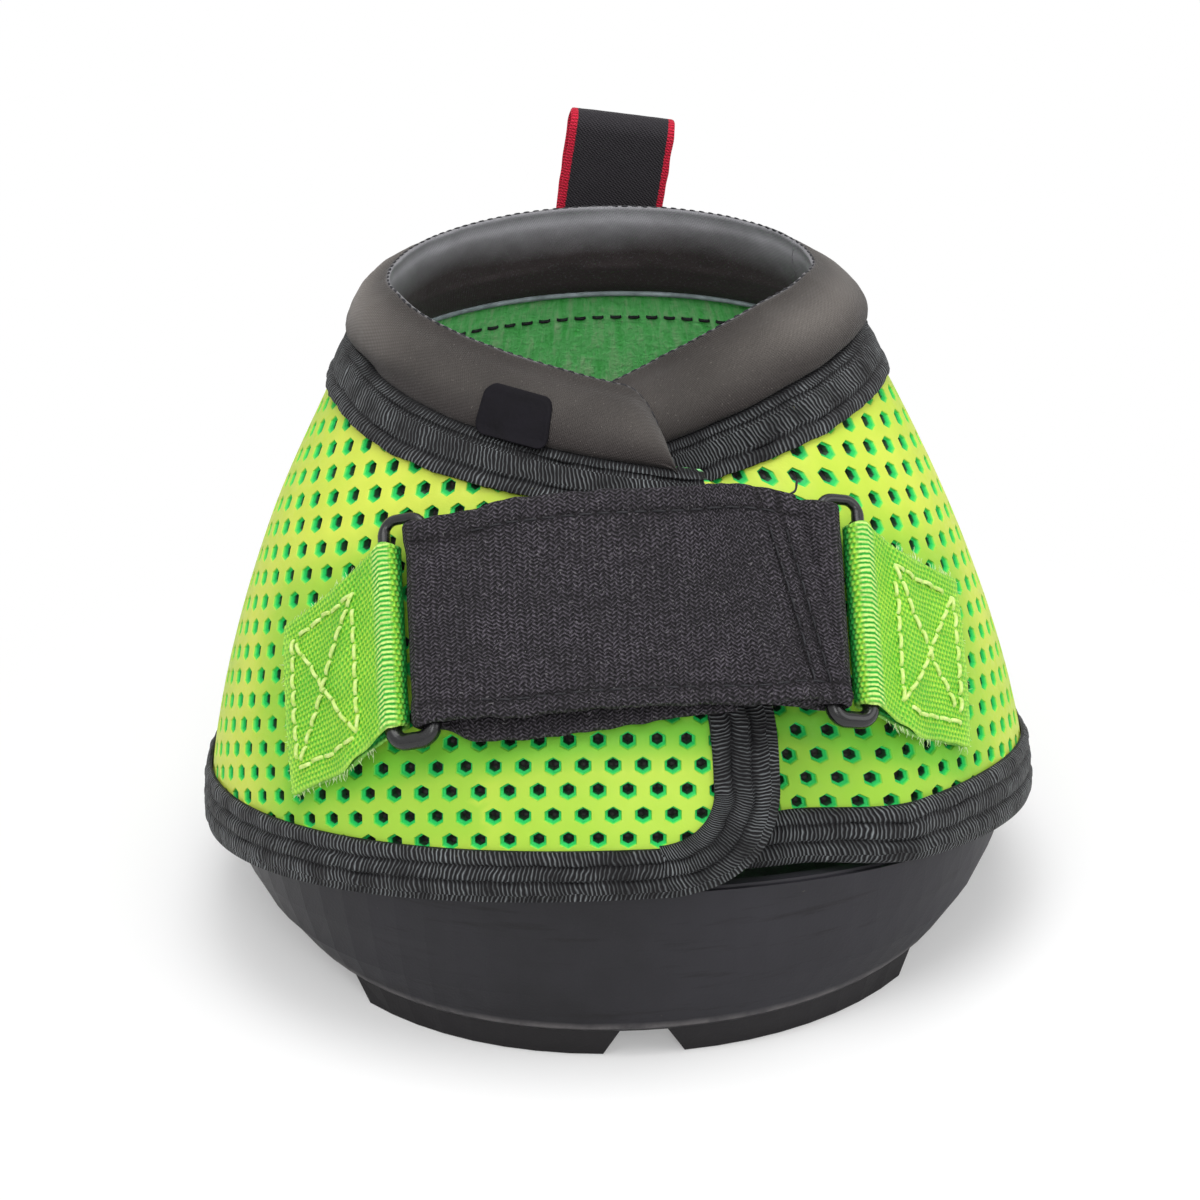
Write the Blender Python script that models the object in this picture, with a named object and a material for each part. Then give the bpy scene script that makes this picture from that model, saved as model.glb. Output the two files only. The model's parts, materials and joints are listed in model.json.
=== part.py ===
"""Horse hoof boot: moulded cup sole, perforated wrap-over upper and strap.

Metres, +Z up, toe towards -Y. The origin is on the ground under the middle.
Angles round the boot start at the toe and grow towards +X.
"""
import math

import bmesh
import bpy
from mathutils import Matrix, Vector

# Cup sole
TREAD_HALF_WIDTH = 0.0662
TREAD_HALF_LENGTH = 0.0688
TREAD_HEIGHT = 0.0055
LEDGE_STEP = 0.0015
LEDGE_CHAMFER = 0.0012
RIM_FLARE_SIDE = 0.0108
RIM_FLARE_END = 0.0027
RIM_SIDE_HEIGHT = 0.0180
RIM_TOE_RISE = 0.0170
RIM_HEEL_DROP = 0.0060
FLOOR_HEIGHT = 0.0095
WALL = 0.0052
LIP_WIDTH = 0.0020
LIP_SIDE_HEIGHT = 0.0004
LIP_HEEL_HEIGHT = 0.0080
FLOOR_FILLET = 0.0020
LUG_BAND = 0.0150
LUG_END_DRAFT = 0.0032
LUG_SIDE_DRAFT = 0.0008
LUG_GAP = 0.0086
LUG_ROOT = 0.0020
SLIT_WIDTH = 0.0009
SLIT_DEPTH = 0.0014
SLIT_LENGTH = 0.0090
FOOTBED = 0.0030

# Upper
COLLAR_SIDE_INSET = 0.0272
COLLAR_TOE_INSET = 0.0363
COLLAR_HEEL_INSET = 0.0267
COLLAR_RING_BACKSET = 0.0125
COLLAR_LINE_HEIGHT = 0.1115
COLLAR_LINE_DIP = 0.0148
COLLAR_LINE_RISE = 0.0010
BELLY = 0.0054
SKIN = 0.0020
LINING = 0.0016
GAP = 0.0003
BINDING = 0.0012
BINDING_WIDTH = 0.0105
BINDING_BACK_WIDTH = 0.0060
UPPER_BAND_WIDTH = 0.0090
RIM_SET_BACK = 0.0035
SEAM_GAP = 0.0009
COLLAR_HEEL_HEIGHT = 0.0125
COLLAR_FLAP_HEIGHT = 0.0125
COLLAR_BULGE = 0.0009
COLLAR_HEEL_PADDING = 0.0066
COLLAR_FLAP_PADDING = 0.0045
COLLAR_SKIRT = 0.0085
CORNER_RADIUS = 0.0200
COLLAR_TIP_LENGTH = 0.0120
HIDDEN_DROP = 0.0035
HINGE_CLEARANCE = 0.0005
PATCH_WIDTH = 0.0175
PATCH_HEIGHT = 0.0100
PATCH = 0.0010

# Strap, rings and webbing
STRAP_WIDTH = 0.0380
STRAP = 0.0016
BAR_RADIUS = 0.0016
BAR_PITCH = 0.0078
RING_SLACK = 0.0008
RING_CORNER = 0.0026
BAR_REACH = 0.0383
STRAP_DROP = 0.0046
STRAP_UNDER_REACH = 0.0200
STRAP_TIP_REACH = 0.0395
END_LOOP_REACH = 0.0255
WEBBING_WIDTH = 0.0320
WEBBING = 0.0011
WEBBING_LENGTH = 0.0275
WEBBING_SET_DOWN = 0.0035
HOOK_PAD = 0.0012
HOOK_PAD_LENGTH = 0.0220
HOOK_PAD_END = 0.0080
HOOK_PAD_WIDTH = 0.0300
PULL_WIDTH = 0.0200
PULL_TAPE = 0.0009
PULL_LOOP_GAP = 0.0055
PULL_LENGTH = 0.0285
PULL_OFFSET = 0.0026

# Angles
HINGE_ANGLE = math.radians(95)
FLAP_EDGE_ANGLE = math.radians(21)
HIDDEN_EDGE_ANGLE = math.radians(-18)
TUCK_START_ANGLE = math.radians(24)
TUCK_END_ANGLE = math.radians(42)
TUCK_COLLAR_END_ANGLE = math.radians(60)
COLLAR_TIP_ANGLE = math.radians(14)
DIP_START_ANGLE = math.radians(80)
DIP_SPAN_ANGLE = math.radians(100)
LIP_START_ANGLE = math.radians(112)
LIP_END_ANGLE = math.radians(122)
TOE_LUG_END_ANGLE = math.radians(51)
HEEL_LUG_START_ANGLE = math.radians(94)
SLIT_ANGLE = math.radians(78)
PADDING_START_ANGLE = math.radians(75)
PADDING_SPAN_ANGLE = math.radians(40)
PATCH_ANGLE = math.radians(-27)
BAND_SHORT_ANGLE = math.radians(2)
FOLD_SEARCH_ANGLE = math.radians(30)
BAR_TILT = 0.13
WEBBING_DIP = math.radians(26)
PULL_LEAN = math.radians(10)

# Shares of the skin's height
SKIN_ROW_SHARES = (0.0, 0.05, 0.10, 0.17, 0.28, 0.42, 0.57, 0.70, 0.80, 0.88, 0.94, 1.0)
STRAP_HEIGHT_SHARE = 0.637
TUCK_DEEPER_SHARES = (0.54, 0.67)
TUCK_WIDER_SHARES = (0.66, 0.84)
OUTLINE_POWER = 2.1
DIP_POWER = 1.0
CLOSURE_SHARES = (0.20, 0.52)
CLOSURE_ANGLES = (math.radians(-14), math.radians(11))

# Cup wall between ledge and rim: shares of height and of reach
WALL_SHARES = ((0.0, 0.0), (0.25, 0.46), (0.60, 0.77), (1.0, 1.0))

# Collar section from its foot to its crown, in shares of its height and depth
COLLAR_OUTER_SHARES = ((0.03, -0.3), (0.24, 1.0), (0.55, 0.8), (0.82, -1.6), (0.97, -5.0))
COLLAR_INNER_SHARES = ((-0.34, 0.92), (0.06, 1.0), (0.40, 1.0), (0.66, 0.90), (0.86, 0.68), (0.99, 0.34))

# Shares of other sizes
EASE_SHARE = 0.4
TIP_HEIGHT_SHARE = 0.2
BELLY_RISE_SHARE = 0.444
BINDING_ROW_SHARE = 0.5
EYE_BACK_SHARE = 0.6
PATCH_CORNER_SHARE = 0.2
PULL_ROW_SHARES = (0.25, 0.6)

# Facets
CUP_STEPS = 78
FOOTBED_STEPS = 64
LUG_STEPS = 8
RING_CORNER_STEPS = 4
RING_SIDES = 8
HEEL_STEPS = 20
OUTER_STEPS = 16
INNER_STEPS = 18
COLLAR_STEPS = 20
HEM_STEPS = 16
CORNER_STEPS = 7
RISE_STEPS = 8
FOLD_STEPS = 6
PULL_STEPS = 8
PATCH_COLUMNS = 8
HALVINGS = 40
NORMAL_STEP = math.radians(0.5)

CUT_OVERRUN = 0.0040

RIM_HALF_WIDTH = TREAD_HALF_WIDTH + RIM_FLARE_SIDE
RIM_HALF_LENGTH = TREAD_HALF_LENGTH + RIM_FLARE_END
COLLAR_RING_HALF_WIDTH = RIM_HALF_WIDTH - COLLAR_SIDE_INSET
COLLAR_RING_TOE = RIM_HALF_LENGTH - COLLAR_TOE_INSET
COLLAR_RING_HEEL = RIM_HALF_LENGTH - COLLAR_HEEL_INSET
RING_INSIDE = STRAP_WIDTH + RING_SLACK
LAYERS = SKIN + GAP + LINING
BACK_FACE = LAYERS + GAP + BINDING
TUCK = BACK_FACE + GAP + GAP + BINDING
TUCK_AT_COLLAR = LAYERS + GAP + COLLAR_FLAP_PADDING + GAP + GAP + BINDING
CLOSURE = (TUCK - LAYERS - 3 * GAP) / 2
LOOP_RADIUS = BAR_RADIUS + GAP + STRAP
RING_LIFT = LOOP_RADIUS + GAP + GAP
UNDER_LAYER_LIFT = GAP + BINDING + GAP + STRAP / 2
TOP_LAYER_LIFT = UNDER_LAYER_LIFT + STRAP + GAP + HOOK_PAD + GAP


def clear_scene():
    for thing in list(bpy.data.objects):
        bpy.data.objects.remove(thing, do_unlink=True)


def smooth(share):
    share = min(max(share, 0.0), 1.0)
    return share * share * (3 - 2 * share)


def paint(name, colour, roughness, metallic=0.0):
    material = bpy.data.materials.new(name)
    material.use_nodes = True
    shader = material.node_tree.nodes["Principled BSDF"]
    shader.inputs["Base Color"].default_value = (*colour, 1.0)
    shader.inputs["Roughness"].default_value = roughness
    shader.inputs["Metallic"].default_value = metallic
    material.diffuse_color = (*colour, 1.0)
    return material


def make_object(name, mesh_data, material, sharp=35):
    mesh = bpy.data.meshes.new(name)
    mesh_data.to_mesh(mesh)
    mesh_data.free()
    mesh.shade_smooth()
    mesh.set_sharp_from_angle(angle=math.radians(sharp))
    thing = bpy.data.objects.new(name, mesh)
    bpy.context.scene.collection.objects.link(thing)
    thing.data.materials.append(material)
    return thing


def outward(angle):
    return Vector((math.sin(angle), -math.cos(angle), 0))


def oval(angle, half_width, toe, heel, power=OUTLINE_POWER):
    """Distance from the middle of a rounded outline to its edge."""
    across = abs(math.sin(angle)) / half_width
    along = abs(math.cos(angle)) / (toe if math.cos(angle) > 0 else heel)
    return (across ** power + along ** power) ** (-1 / power)


def rim_radius(angle):
    return oval(angle, RIM_HALF_WIDTH, RIM_HALF_LENGTH, RIM_HALF_LENGTH)


def rim_height(angle):
    level = math.cos(angle)
    return RIM_SIDE_HEIGHT + (RIM_TOE_RISE if level > 0 else RIM_HEEL_DROP) * level


def hem_point(angle):
    """Lower edge of the skin's outer face, just above the cup's rim."""
    height = rim_height(angle) + SEAM_GAP + BINDING + GAP
    return outward(angle) * (rim_radius(angle) + RIM_SET_BACK) + Vector((0, 0, height))


def ring_point(angle):
    """Upper edge of the upper's cone, level all round but for a rise at the heel."""
    radius = oval(angle, COLLAR_RING_HALF_WIDTH, COLLAR_RING_TOE, COLLAR_RING_HEEL, 2.0)
    height = COLLAR_LINE_HEIGHT + COLLAR_LINE_RISE * max(-math.cos(angle), 0)
    return outward(angle) * radius + Vector((0, COLLAR_RING_BACKSET, height))


def slant(angle):
    return (ring_point(angle) - hem_point(angle)).length


def girth(share):
    hem = RIM_HALF_WIDTH + RIM_SET_BACK
    return hem + (COLLAR_RING_HALF_WIDTH - hem) * share


def heel_wrap(angle, share, offset=0.0):
    """Point on the upper's cone: share 0 at the hem, 1 at the collar ring."""
    belly = 0.0
    if 0 < share < 1:
        rise, fall = BELLY_RISE_SHARE, 1 - BELLY_RISE_SHARE
        belly = BELLY * (share / rise) ** (rise / fall) * (1 - share) / fall
    foot = hem_point(angle)
    return foot + (ring_point(angle) - foot) * share + outward(angle) * (belly + offset)


def tucked_under(angle, last):
    """One where the inner flap lies fully under the outer one, zero from the last angle on."""
    return smooth((last - angle) / (last - TUCK_START_ANGLE))


def trimmed(flap, angle, share):
    """Share of the cone for a share of a flap, whose top edge falls to its free end."""
    ahead = max(DIP_START_ANGLE - flap * angle, 0) / DIP_SPAN_ANGLE
    drop = COLLAR_LINE_DIP * ahead ** DIP_POWER
    if flap > 0:
        drop += HIDDEN_DROP * tucked_under(angle, TUCK_COLLAR_END_ANGLE)
    top = 1 - drop / slant(angle)
    return share * top if share < 1 else top + share - 1


def outer_wrap(angle, share, offset=0.0):
    return heel_wrap(angle, trimmed(-1, angle, share), offset)


def tuck(angle, share):
    """How far the inner flap lies inside the outer one."""
    low, high = TUCK_WIDER_SHARES
    wider = (TUCK_COLLAR_END_ANGLE - TUCK_END_ANGLE) * smooth((share - low) / (high - low))
    beside = tucked_under(angle, TUCK_END_ANGLE + wider)
    low, high = TUCK_DEEPER_SHARES
    deeper = (TUCK_AT_COLLAR - TUCK) * smooth((share - low) / (high - low))
    return beside * (TUCK + max(deeper, 0.0))


def inner_wrap(angle, share, offset=0.0):
    cone_share = trimmed(1, angle, share)
    return heel_wrap(angle, cone_share, offset - tuck(angle, cone_share))


def hinge_frame(side):
    """Point and direction of a flap's fold line, and the fold plane's normal."""
    angle = side * HINGE_ANGLE
    foot = heel_wrap(angle, 0.0, BELLY + GAP)
    head = heel_wrap(angle, 1.0, BELLY + GAP)
    along = (head - foot).normalized()
    across = along.cross(outward(angle)).normalized()
    if across.y > 0:
        across = -across
    return foot, along, across


def fold_angle(side, clearance, point_at):
    """Angle where a line round the boot meets the fold plane."""
    foot, _, across = hinge_frame(side)
    low = side * HINGE_ANGLE - FOLD_SEARCH_ANGLE
    high = side * HINGE_ANGLE + FOLD_SEARCH_ANGLE
    at_low = (point_at(low) - foot).dot(across) - clearance
    for _ in range(HALVINGS):
        middle = (low + high) / 2
        value = (point_at(middle) - foot).dot(across) - clearance
        if (value > 0) == (at_low > 0):
            low = middle
        else:
            high = middle
    return (low + high) / 2


def strip_solid(name, sections, material, sharp=35):
    """Closed solid from sections, each an outer and an inner row of points."""
    form = bmesh.new()
    rows = [[[form.verts.new(point) for point in row] for row in pair] for pair in sections]
    count = len(rows[0][0])
    for before, after in zip(rows, rows[1:]):
        for step in range(count - 1):
            form.faces.new((before[0][step], before[0][step + 1], after[0][step + 1], after[0][step]))
            form.faces.new((before[1][step], after[1][step], after[1][step + 1], before[1][step + 1]))
        for step in (0, -1):
            form.faces.new((before[0][step], after[0][step], after[1][step], before[1][step]))
    for outer, inner in (rows[0], rows[-1]):
        for step in range(count - 1):
            form.faces.new((outer[step], outer[step + 1], inner[step + 1], inner[step]))
    bmesh.ops.recalc_face_normals(form, faces=form.faces)
    bmesh.ops.triangulate(form, faces=form.faces)
    return make_object(name, form, material, sharp)


def wrapped_solid(name, surface, outer, inner, start, end, steps, material):
    """Solid that follows the upper from one edge to another.

    outer and inner are rows of (share, offset); start and end give the edge's
    angle for such a pair.
    """
    spans = [[(start(*pair), end(*pair)) for pair in row] for row in (outer, inner)]
    sections = []
    for step in range(steps + 1):
        part = step / steps
        section = []
        for row, span in zip((outer, inner), spans):
            angles = [first + (last - first) * part for first, last in span]
            section.append([surface(angle, *pair) for angle, pair in zip(angles, row)])
        sections.append(section)
    return strip_solid(name, sections, material)


def at_fold(side, surface, clearance):
    """Edge function: the angle where a (share, offset) line meets a fold."""
    turn = 0.0
    if clearance < 0 and side < 0:
        turn = math.tau

    def edge(share, offset):
        return turn + fold_angle(side, clearance, lambda angle: surface(angle, share, offset))

    return edge


def at_angle(angle):
    return lambda share, offset: angle


def flap_edge(share, offset=0.0):
    """Free edge of the outer flap, with its lower corner rounded."""
    height = share * slant(FLAP_EDGE_ANGLE)
    if height >= CORNER_RADIUS:
        return FLAP_EDGE_ANGLE
    rest = CORNER_RADIUS - max(height, 0.0)
    return FLAP_EDGE_ANGLE - (CORNER_RADIUS - math.sqrt(CORNER_RADIUS ** 2 - rest ** 2)) / girth(share)


def rows_between(low, high, front, back, count):
    shares = [low + (high - low) * step / count for step in range(count + 1)]
    return [(share, front) for share in shares], [(share, back) for share in shares]


def skin_and_lining(prefix, surface, start, end, steps, skin_paint, lining_paint):
    layers = (("_skin", 0.0, -SKIN, skin_paint), ("_lining", -SKIN - GAP, -LAYERS, lining_paint))
    for name, front, back, material in layers:
        outer = [(share, front) for share in SKIN_ROW_SHARES]
        inner = [(share, back) for share in SKIN_ROW_SHARES]
        wrapped_solid(prefix + name, surface, outer, inner, start, end, steps, material)


def band_shares(width):
    return width / slant(math.pi / 2)


def upper_band(prefix, surface, start, end, steps, material):
    low = 1 - band_shares(UPPER_BAND_WIDTH)
    outer, inner = rows_between(low, 1.0, GAP + BINDING, GAP, 2)
    wrapped_solid(prefix + "_upper_binding", surface, outer, inner, start, end, steps, material)


def channel():
    """Rows of (reach, offset) of a binding folded over the edge of both layers."""
    thick = GAP + BINDING
    shape = []
    for grow in (thick, GAP):
        shape.append([
            (BINDING_WIDTH, grow), (BINDING_WIDTH * BINDING_ROW_SHARE, grow),
            (EASE_SHARE * grow, grow), (-grow, EASE_SHARE * grow),
            (-grow, -LAYERS - EASE_SHARE * grow), (EASE_SHARE * grow, -LAYERS - grow),
            (BINDING_BACK_WIDTH, -LAYERS - grow)])
    return shape


def lower_binding(name, surface, start, end, steps, material):
    scale = slant(math.pi / 2)
    outer, inner = [[(reach / scale, offset) for reach, offset in row] for row in channel()]
    wrapped_solid(name, surface, outer, inner, start, end, steps, material)


def flap_edge_binding(material):
    """Binding along the outer flap's hem, round its corner and up its free edge."""
    scale = slant(FLAP_EDGE_ANGLE)
    top = 1 - band_shares(UPPER_BAND_WIDTH) - GAP / scale
    fold = at_fold(-1, outer_wrap, HINGE_CLEARANCE / 2)
    shape = channel()
    sections = []
    for step in range(HEM_STEPS):
        part = step / HEM_STEPS
        section = []
        for row in shape:
            points = []
            for reach, offset in row:
                share = reach / scale
                last = FLAP_EDGE_ANGLE - CORNER_RADIUS / girth(share)
                first = fold(share, offset)
                points.append(outer_wrap(first + (last - first) * part, share, offset))
            section.append(points)
        sections.append(section)
    for step in range(CORNER_STEPS):
        turn = math.pi / 2 * step / CORNER_STEPS
        section = []
        for row in shape:
            points = []
            for reach, offset in row:
                radius = CORNER_RADIUS - reach
                share = (CORNER_RADIUS - radius * math.cos(turn)) / scale
                along = radius * math.sin(turn) - CORNER_RADIUS
                points.append(outer_wrap(FLAP_EDGE_ANGLE + along / girth(share), share, offset))
            section.append(points)
        sections.append(section)
    for step in range(RISE_STEPS + 1):
        share = CORNER_RADIUS / scale + (top - CORNER_RADIUS / scale) * step / RISE_STEPS
        section = []
        for row in shape:
            section.append([outer_wrap(FLAP_EDGE_ANGLE - reach / girth(share), share, offset)
                            for reach, offset in row])
        sections.append(section)
    strip_solid("outer_flap_edge_binding", sections, material)


def toward_front(angle):
    """Zero round the heel, one where the flaps cross."""
    return smooth((PADDING_START_ANGLE - abs(math.remainder(angle, math.tau))) / PADDING_SPAN_ANGLE)


def collar_rows(angle):
    """Collar section as rows of (share, offset), outer side and inner side."""
    ahead = toward_front(angle)
    padding = COLLAR_HEEL_PADDING + (COLLAR_FLAP_PADDING - COLLAR_HEEL_PADDING) * ahead
    height = COLLAR_HEEL_HEIGHT + (COLLAR_FLAP_HEIGHT - COLLAR_HEEL_HEIGHT) * ahead
    scale = slant(angle)
    skirt = -COLLAR_SKIRT / scale
    depth = LAYERS + GAP
    outer = [(skirt, -depth), (GAP / scale, -depth)]
    for up, out in COLLAR_OUTER_SHARES:
        outer.append((up * height / scale, out * COLLAR_BULGE))
    inner = [(skirt, -depth - padding / 2)]
    for up, deep in COLLAR_INNER_SHARES:
        inner.append((up * height / scale, -depth - padding * deep))
    return ([(1 + share, offset) for share, offset in outer],
            [(1 + share, offset) for share, offset in inner])


def collar(name, surface, start, end, steps, material, tip=None):
    """Padded collar; tip is the angle over which its free end rounds down."""
    sections = []
    rows = collar_rows(math.pi / 2)
    starts = [[start(*pair) for pair in row] for row in rows]
    ends = [[end(*pair) for pair in row] for row in rows]
    for step in range(steps + 1):
        part = step / steps
        section = []
        for side in (0, 1):
            points = []
            for place in range(len(starts[side])):
                angle = starts[side][place] + (ends[side][place] - starts[side][place]) * part
                share, offset = collar_rows(angle)[side][place]
                if tip is not None and share > 1:
                    left = max(ends[side][place] - angle, 0.0) / tip
                    round_off = math.sqrt(max(1 - (1 - min(left, 1.0)) ** 2, 0.0))
                    share = 1 + (share - 1) * (TIP_HEIGHT_SHARE + (1 - TIP_HEIGHT_SHARE) * round_off)
                points.append(surface(angle, share, offset))
            section.append(points)
        sections.append(section)
    return strip_solid(name, sections, material, 50)


def strap_place(along, up):
    """Angle and share of a place on the strap's line round the front."""
    part = along / BAR_REACH
    tilt = BAR_TILT * part
    middle = STRAP_HEIGHT_SHARE - STRAP_DROP * part * part / slant(0)
    share = middle + up * math.cos(tilt) / slant(0)
    return (along + up * math.sin(tilt)) / girth(share), share


def on_skin(surface, angle, share, lift):
    """Point lifted square off the skin."""
    step = NORMAL_STEP
    here = surface(angle, share)
    round_way = surface(angle + step, share) - surface(angle - step, share)
    up_way = surface(angle, share + step) - surface(angle, share - step)
    return here + round_way.cross(up_way).normalized() * lift


def bar_frame(along):
    """Frame of a ring bar: X runs away from the toe line, Y up the bar, Z out."""
    angle, share = strap_place(along, 0)
    centre = on_skin(heel_wrap, angle, share, RING_LIFT)
    reach = STRAP_WIDTH / 2
    high = heel_wrap(*strap_place(along, reach))
    low = heel_wrap(*strap_place(along, -reach))
    up = (high - low).normalized()
    out = centre - heel_wrap(angle, share)
    out = (out - up * out.dot(up)).normalized()
    side = up.cross(out) if along > 0 else out.cross(up)
    return centre, side, up, out


def in_frame(frame, along, up, out):
    centre, side_way, up_way, out_way = frame
    return centre + side_way * along + up_way * up + out_way * out


def band_solid(name, path, widths, point_at, thickness, material):
    """Folded band: path is a row of (along, lift), widths the stations across."""
    normals = []
    for step, (along, lift) in enumerate(path):
        before = path[max(step - 1, 0)]
        after = path[min(step + 1, len(path) - 1)]
        run = Vector((after[0] - before[0], after[1] - before[1])).normalized()
        normals.append(Vector((-run.y, run.x)))
    sections = []
    for up in widths:
        section = []
        for side in (1, -1):
            points = []
            for (along, lift), normal in zip(path, normals):
                push = normal * (side * thickness / 2)
                points.append(point_at(along + push.x, up, lift + push.y))
            section.append(points)
        sections.append(section)
    return strip_solid(name, sections, material, 60)


def refined(path, longest):
    """The path with points added so that no run is longer than given."""
    points = [path[0]]
    for before, after in zip(path, path[1:]):
        length = math.dist(before, after)
        count = max(math.ceil(length / longest), 1)
        for step in range(1, count + 1):
            part = step / count
            points.append(tuple(first + (last - first) * part for first, last in zip(before, after)))
    return points


def spread(width, count=4):
    return [width * (step / count - 0.5) for step in range(count + 1)]


def fold_path(centre, radius, start, end, count=FOLD_STEPS):
    """Half turn of a band round a bar, as (along, lift) points."""
    points = []
    for step in range(count + 1):
        turn = start + (end - start) * step / count
        points.append((centre + radius * math.cos(turn), RING_LIFT + radius * math.sin(turn)))
    return points


def blended(frame, frame_along, surface, place):
    """Place on the skin that turns into a straight run at a ring's bar."""
    near, far = 2 * LOOP_RADIUS, 5 * LOOP_RADIUS

    def point_at(along, up, lift):
        distance = abs(along - frame_along)
        weight = 1 - smooth((distance - near) / (far - near))
        soft = on_skin(surface, *place(along, up), lift)
        if weight <= 0:
            return soft
        side = 1 if frame_along > 0 else -1
        hard = in_frame(frame, side * (along - frame_along), up, lift - RING_LIFT)
        return soft + (hard - soft) * weight

    return point_at


def ring(name, frame, material):
    """Rounded rectangular loop; the strap's bar is at zero, the webbing's beyond."""
    half = (RING_INSIDE + 2 * BAR_RADIUS) / 2
    corners = ((0, -half, math.pi, 1.5 * math.pi), (BAR_PITCH, -half, 1.5 * math.pi, math.tau),
               (BAR_PITCH, half, 0, math.pi / 2), (0, half, math.pi / 2, math.pi))
    path = []
    for along, up, start, end in corners:
        middle = Vector((along + (RING_CORNER if along == 0 else -RING_CORNER),
                         up - math.copysign(RING_CORNER, up)))
        for step in range(RING_CORNER_STEPS + 1):
            turn = start + (end - start) * step / RING_CORNER_STEPS
            path.append(middle + Vector((math.cos(turn), math.sin(turn))) * RING_CORNER)
    form = bmesh.new()
    loops = []
    for step, spot in enumerate(path):
        before = path[step - 1]
        after = path[(step + 1) % len(path)]
        run = (after - before).normalized()
        across = Vector((run.y, -run.x))
        loop = []
        for part in range(RING_SIDES):
            turn = math.tau * part / RING_SIDES
            place = spot + across * (BAR_RADIUS * math.cos(turn))
            loop.append(form.verts.new(in_frame(frame, place.x, place.y, BAR_RADIUS * math.sin(turn))))
        loops.append(loop)
    for step, loop in enumerate(loops):
        after = loops[(step + 1) % len(loops)]
        for part in range(RING_SIDES):
            following = (part + 1) % RING_SIDES
            form.faces.new((loop[part], loop[following], after[following], after[part]))
    bmesh.ops.recalc_face_normals(form, faces=form.faces)
    bmesh.ops.triangulate(form, faces=form.faces)
    return make_object(name, form, material, 60)


def webbing_tab(name, side, frame, material):
    """Webbing folded round the ring's outer bar and laid back on the skin."""
    bar = side * (BAR_REACH + BAR_PITCH)
    eye = BAR_RADIUS + GAP + WEBBING / 2
    far = bar + side * WEBBING_LENGTH
    under = GAP + WEBBING / 2
    top = under + WEBBING + GAP
    straight = side * (eye + LOOP_RADIUS)
    path = refined([(far, under), (bar + straight, under)], WEBBING_WIDTH / 8)
    turns = (-math.pi / 2, -1.5 * math.pi) if side > 0 else (-math.pi / 2, math.pi / 2)
    path += fold_path(bar, eye, *turns)
    path += [(bar + straight, top + WEBBING)]
    path += refined([(bar + 2 * straight, top), (far, top)], WEBBING_WIDTH / 8)

    def place(along, up):
        beyond = abs(along - bar) if (along - bar) * side > 0 else 0
        share = strap_place(bar, up - WEBBING_SET_DOWN)[1]
        share -= beyond * math.sin(WEBBING_DIP) / slant(0)
        run = abs(bar) + up * math.sin(BAR_TILT) + (along - bar) * side * math.cos(WEBBING_DIP)
        return side * run / girth(share), share

    shifted = in_frame(frame, BAR_PITCH, 0, 0), *frame[1:]
    point_at = blended(shifted, bar, heel_wrap, place)
    return band_solid(name, path, spread(WEBBING_WIDTH), point_at, WEBBING, material)


def strap(left_frame, right_frame, material):
    """One band folded round the left ring: under layer, fold and top layer."""
    bar = -BAR_REACH
    turn_radius = BAR_RADIUS + GAP + STRAP / 2
    over_ring = RING_LIFT + LOOP_RADIUS + GAP + STRAP / 2
    run = STRAP_WIDTH / 8
    under = [(STRAP_UNDER_REACH, UNDER_LAYER_LIFT), (bar + 2 * LOOP_RADIUS, UNDER_LAYER_LIFT),
             (bar + LOOP_RADIUS, RING_LIFT - turn_radius)]
    over = [(bar + LOOP_RADIUS, RING_LIFT + turn_radius), (bar + 3 * LOOP_RADIUS, TOP_LAYER_LIFT),
            (HOOK_PAD_END, TOP_LAYER_LIFT), (END_LOOP_REACH, over_ring), (STRAP_TIP_REACH, over_ring)]
    turn = fold_path(bar, turn_radius, -math.pi / 2, -1.5 * math.pi)
    path = refined(under, run) + turn + refined(over, run)
    by_left_ring = blended(left_frame, bar, heel_wrap, strap_place)
    by_right_ring = blended(right_frame, -bar, heel_wrap, strap_place)

    def point_at(along, up, lift):
        return (by_left_ring if along < 0 else by_right_ring)(along, up, lift)

    return band_solid("strap", path, spread(STRAP_WIDTH), point_at, STRAP, material)


def strap_hook_pad(material):
    middle = (UNDER_LAYER_LIFT + TOP_LAYER_LIFT) / 2
    path = refined([(HOOK_PAD_END - HOOK_PAD_LENGTH, middle), (HOOK_PAD_END, middle)], STRAP_WIDTH / 8)

    def point_at(along, up, lift):
        return on_skin(heel_wrap, *strap_place(along, up), lift)

    return band_solid("strap_hook_pad", path, spread(HOOK_PAD_WIDTH), point_at, HOOK_PAD, material)


def strap_end_loop(frame, material):
    """Sewn end of the strap, folded round the right ring's inner bar."""
    bar = BAR_REACH
    turn_radius = BAR_RADIUS + GAP + STRAP / 2
    meet = STRAP / 2 + GAP / 2
    path = [(END_LOOP_REACH, RING_LIFT - meet), (bar - 2 * LOOP_RADIUS, RING_LIFT - meet),
            (bar - LOOP_RADIUS * EYE_BACK_SHARE, RING_LIFT - turn_radius)]
    path += fold_path(bar, turn_radius, -math.pi / 2, math.pi / 2)
    path += [(bar - LOOP_RADIUS * EYE_BACK_SHARE, RING_LIFT + turn_radius),
             (bar - 2 * LOOP_RADIUS, RING_LIFT + meet), (END_LOOP_REACH, RING_LIFT + meet)]

    def point_at(along, up, lift):
        return in_frame(frame, along - bar, up, lift - RING_LIFT)

    return band_solid("strap_end_loop", path, spread(STRAP_WIDTH, 2), point_at, STRAP, material)


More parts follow.
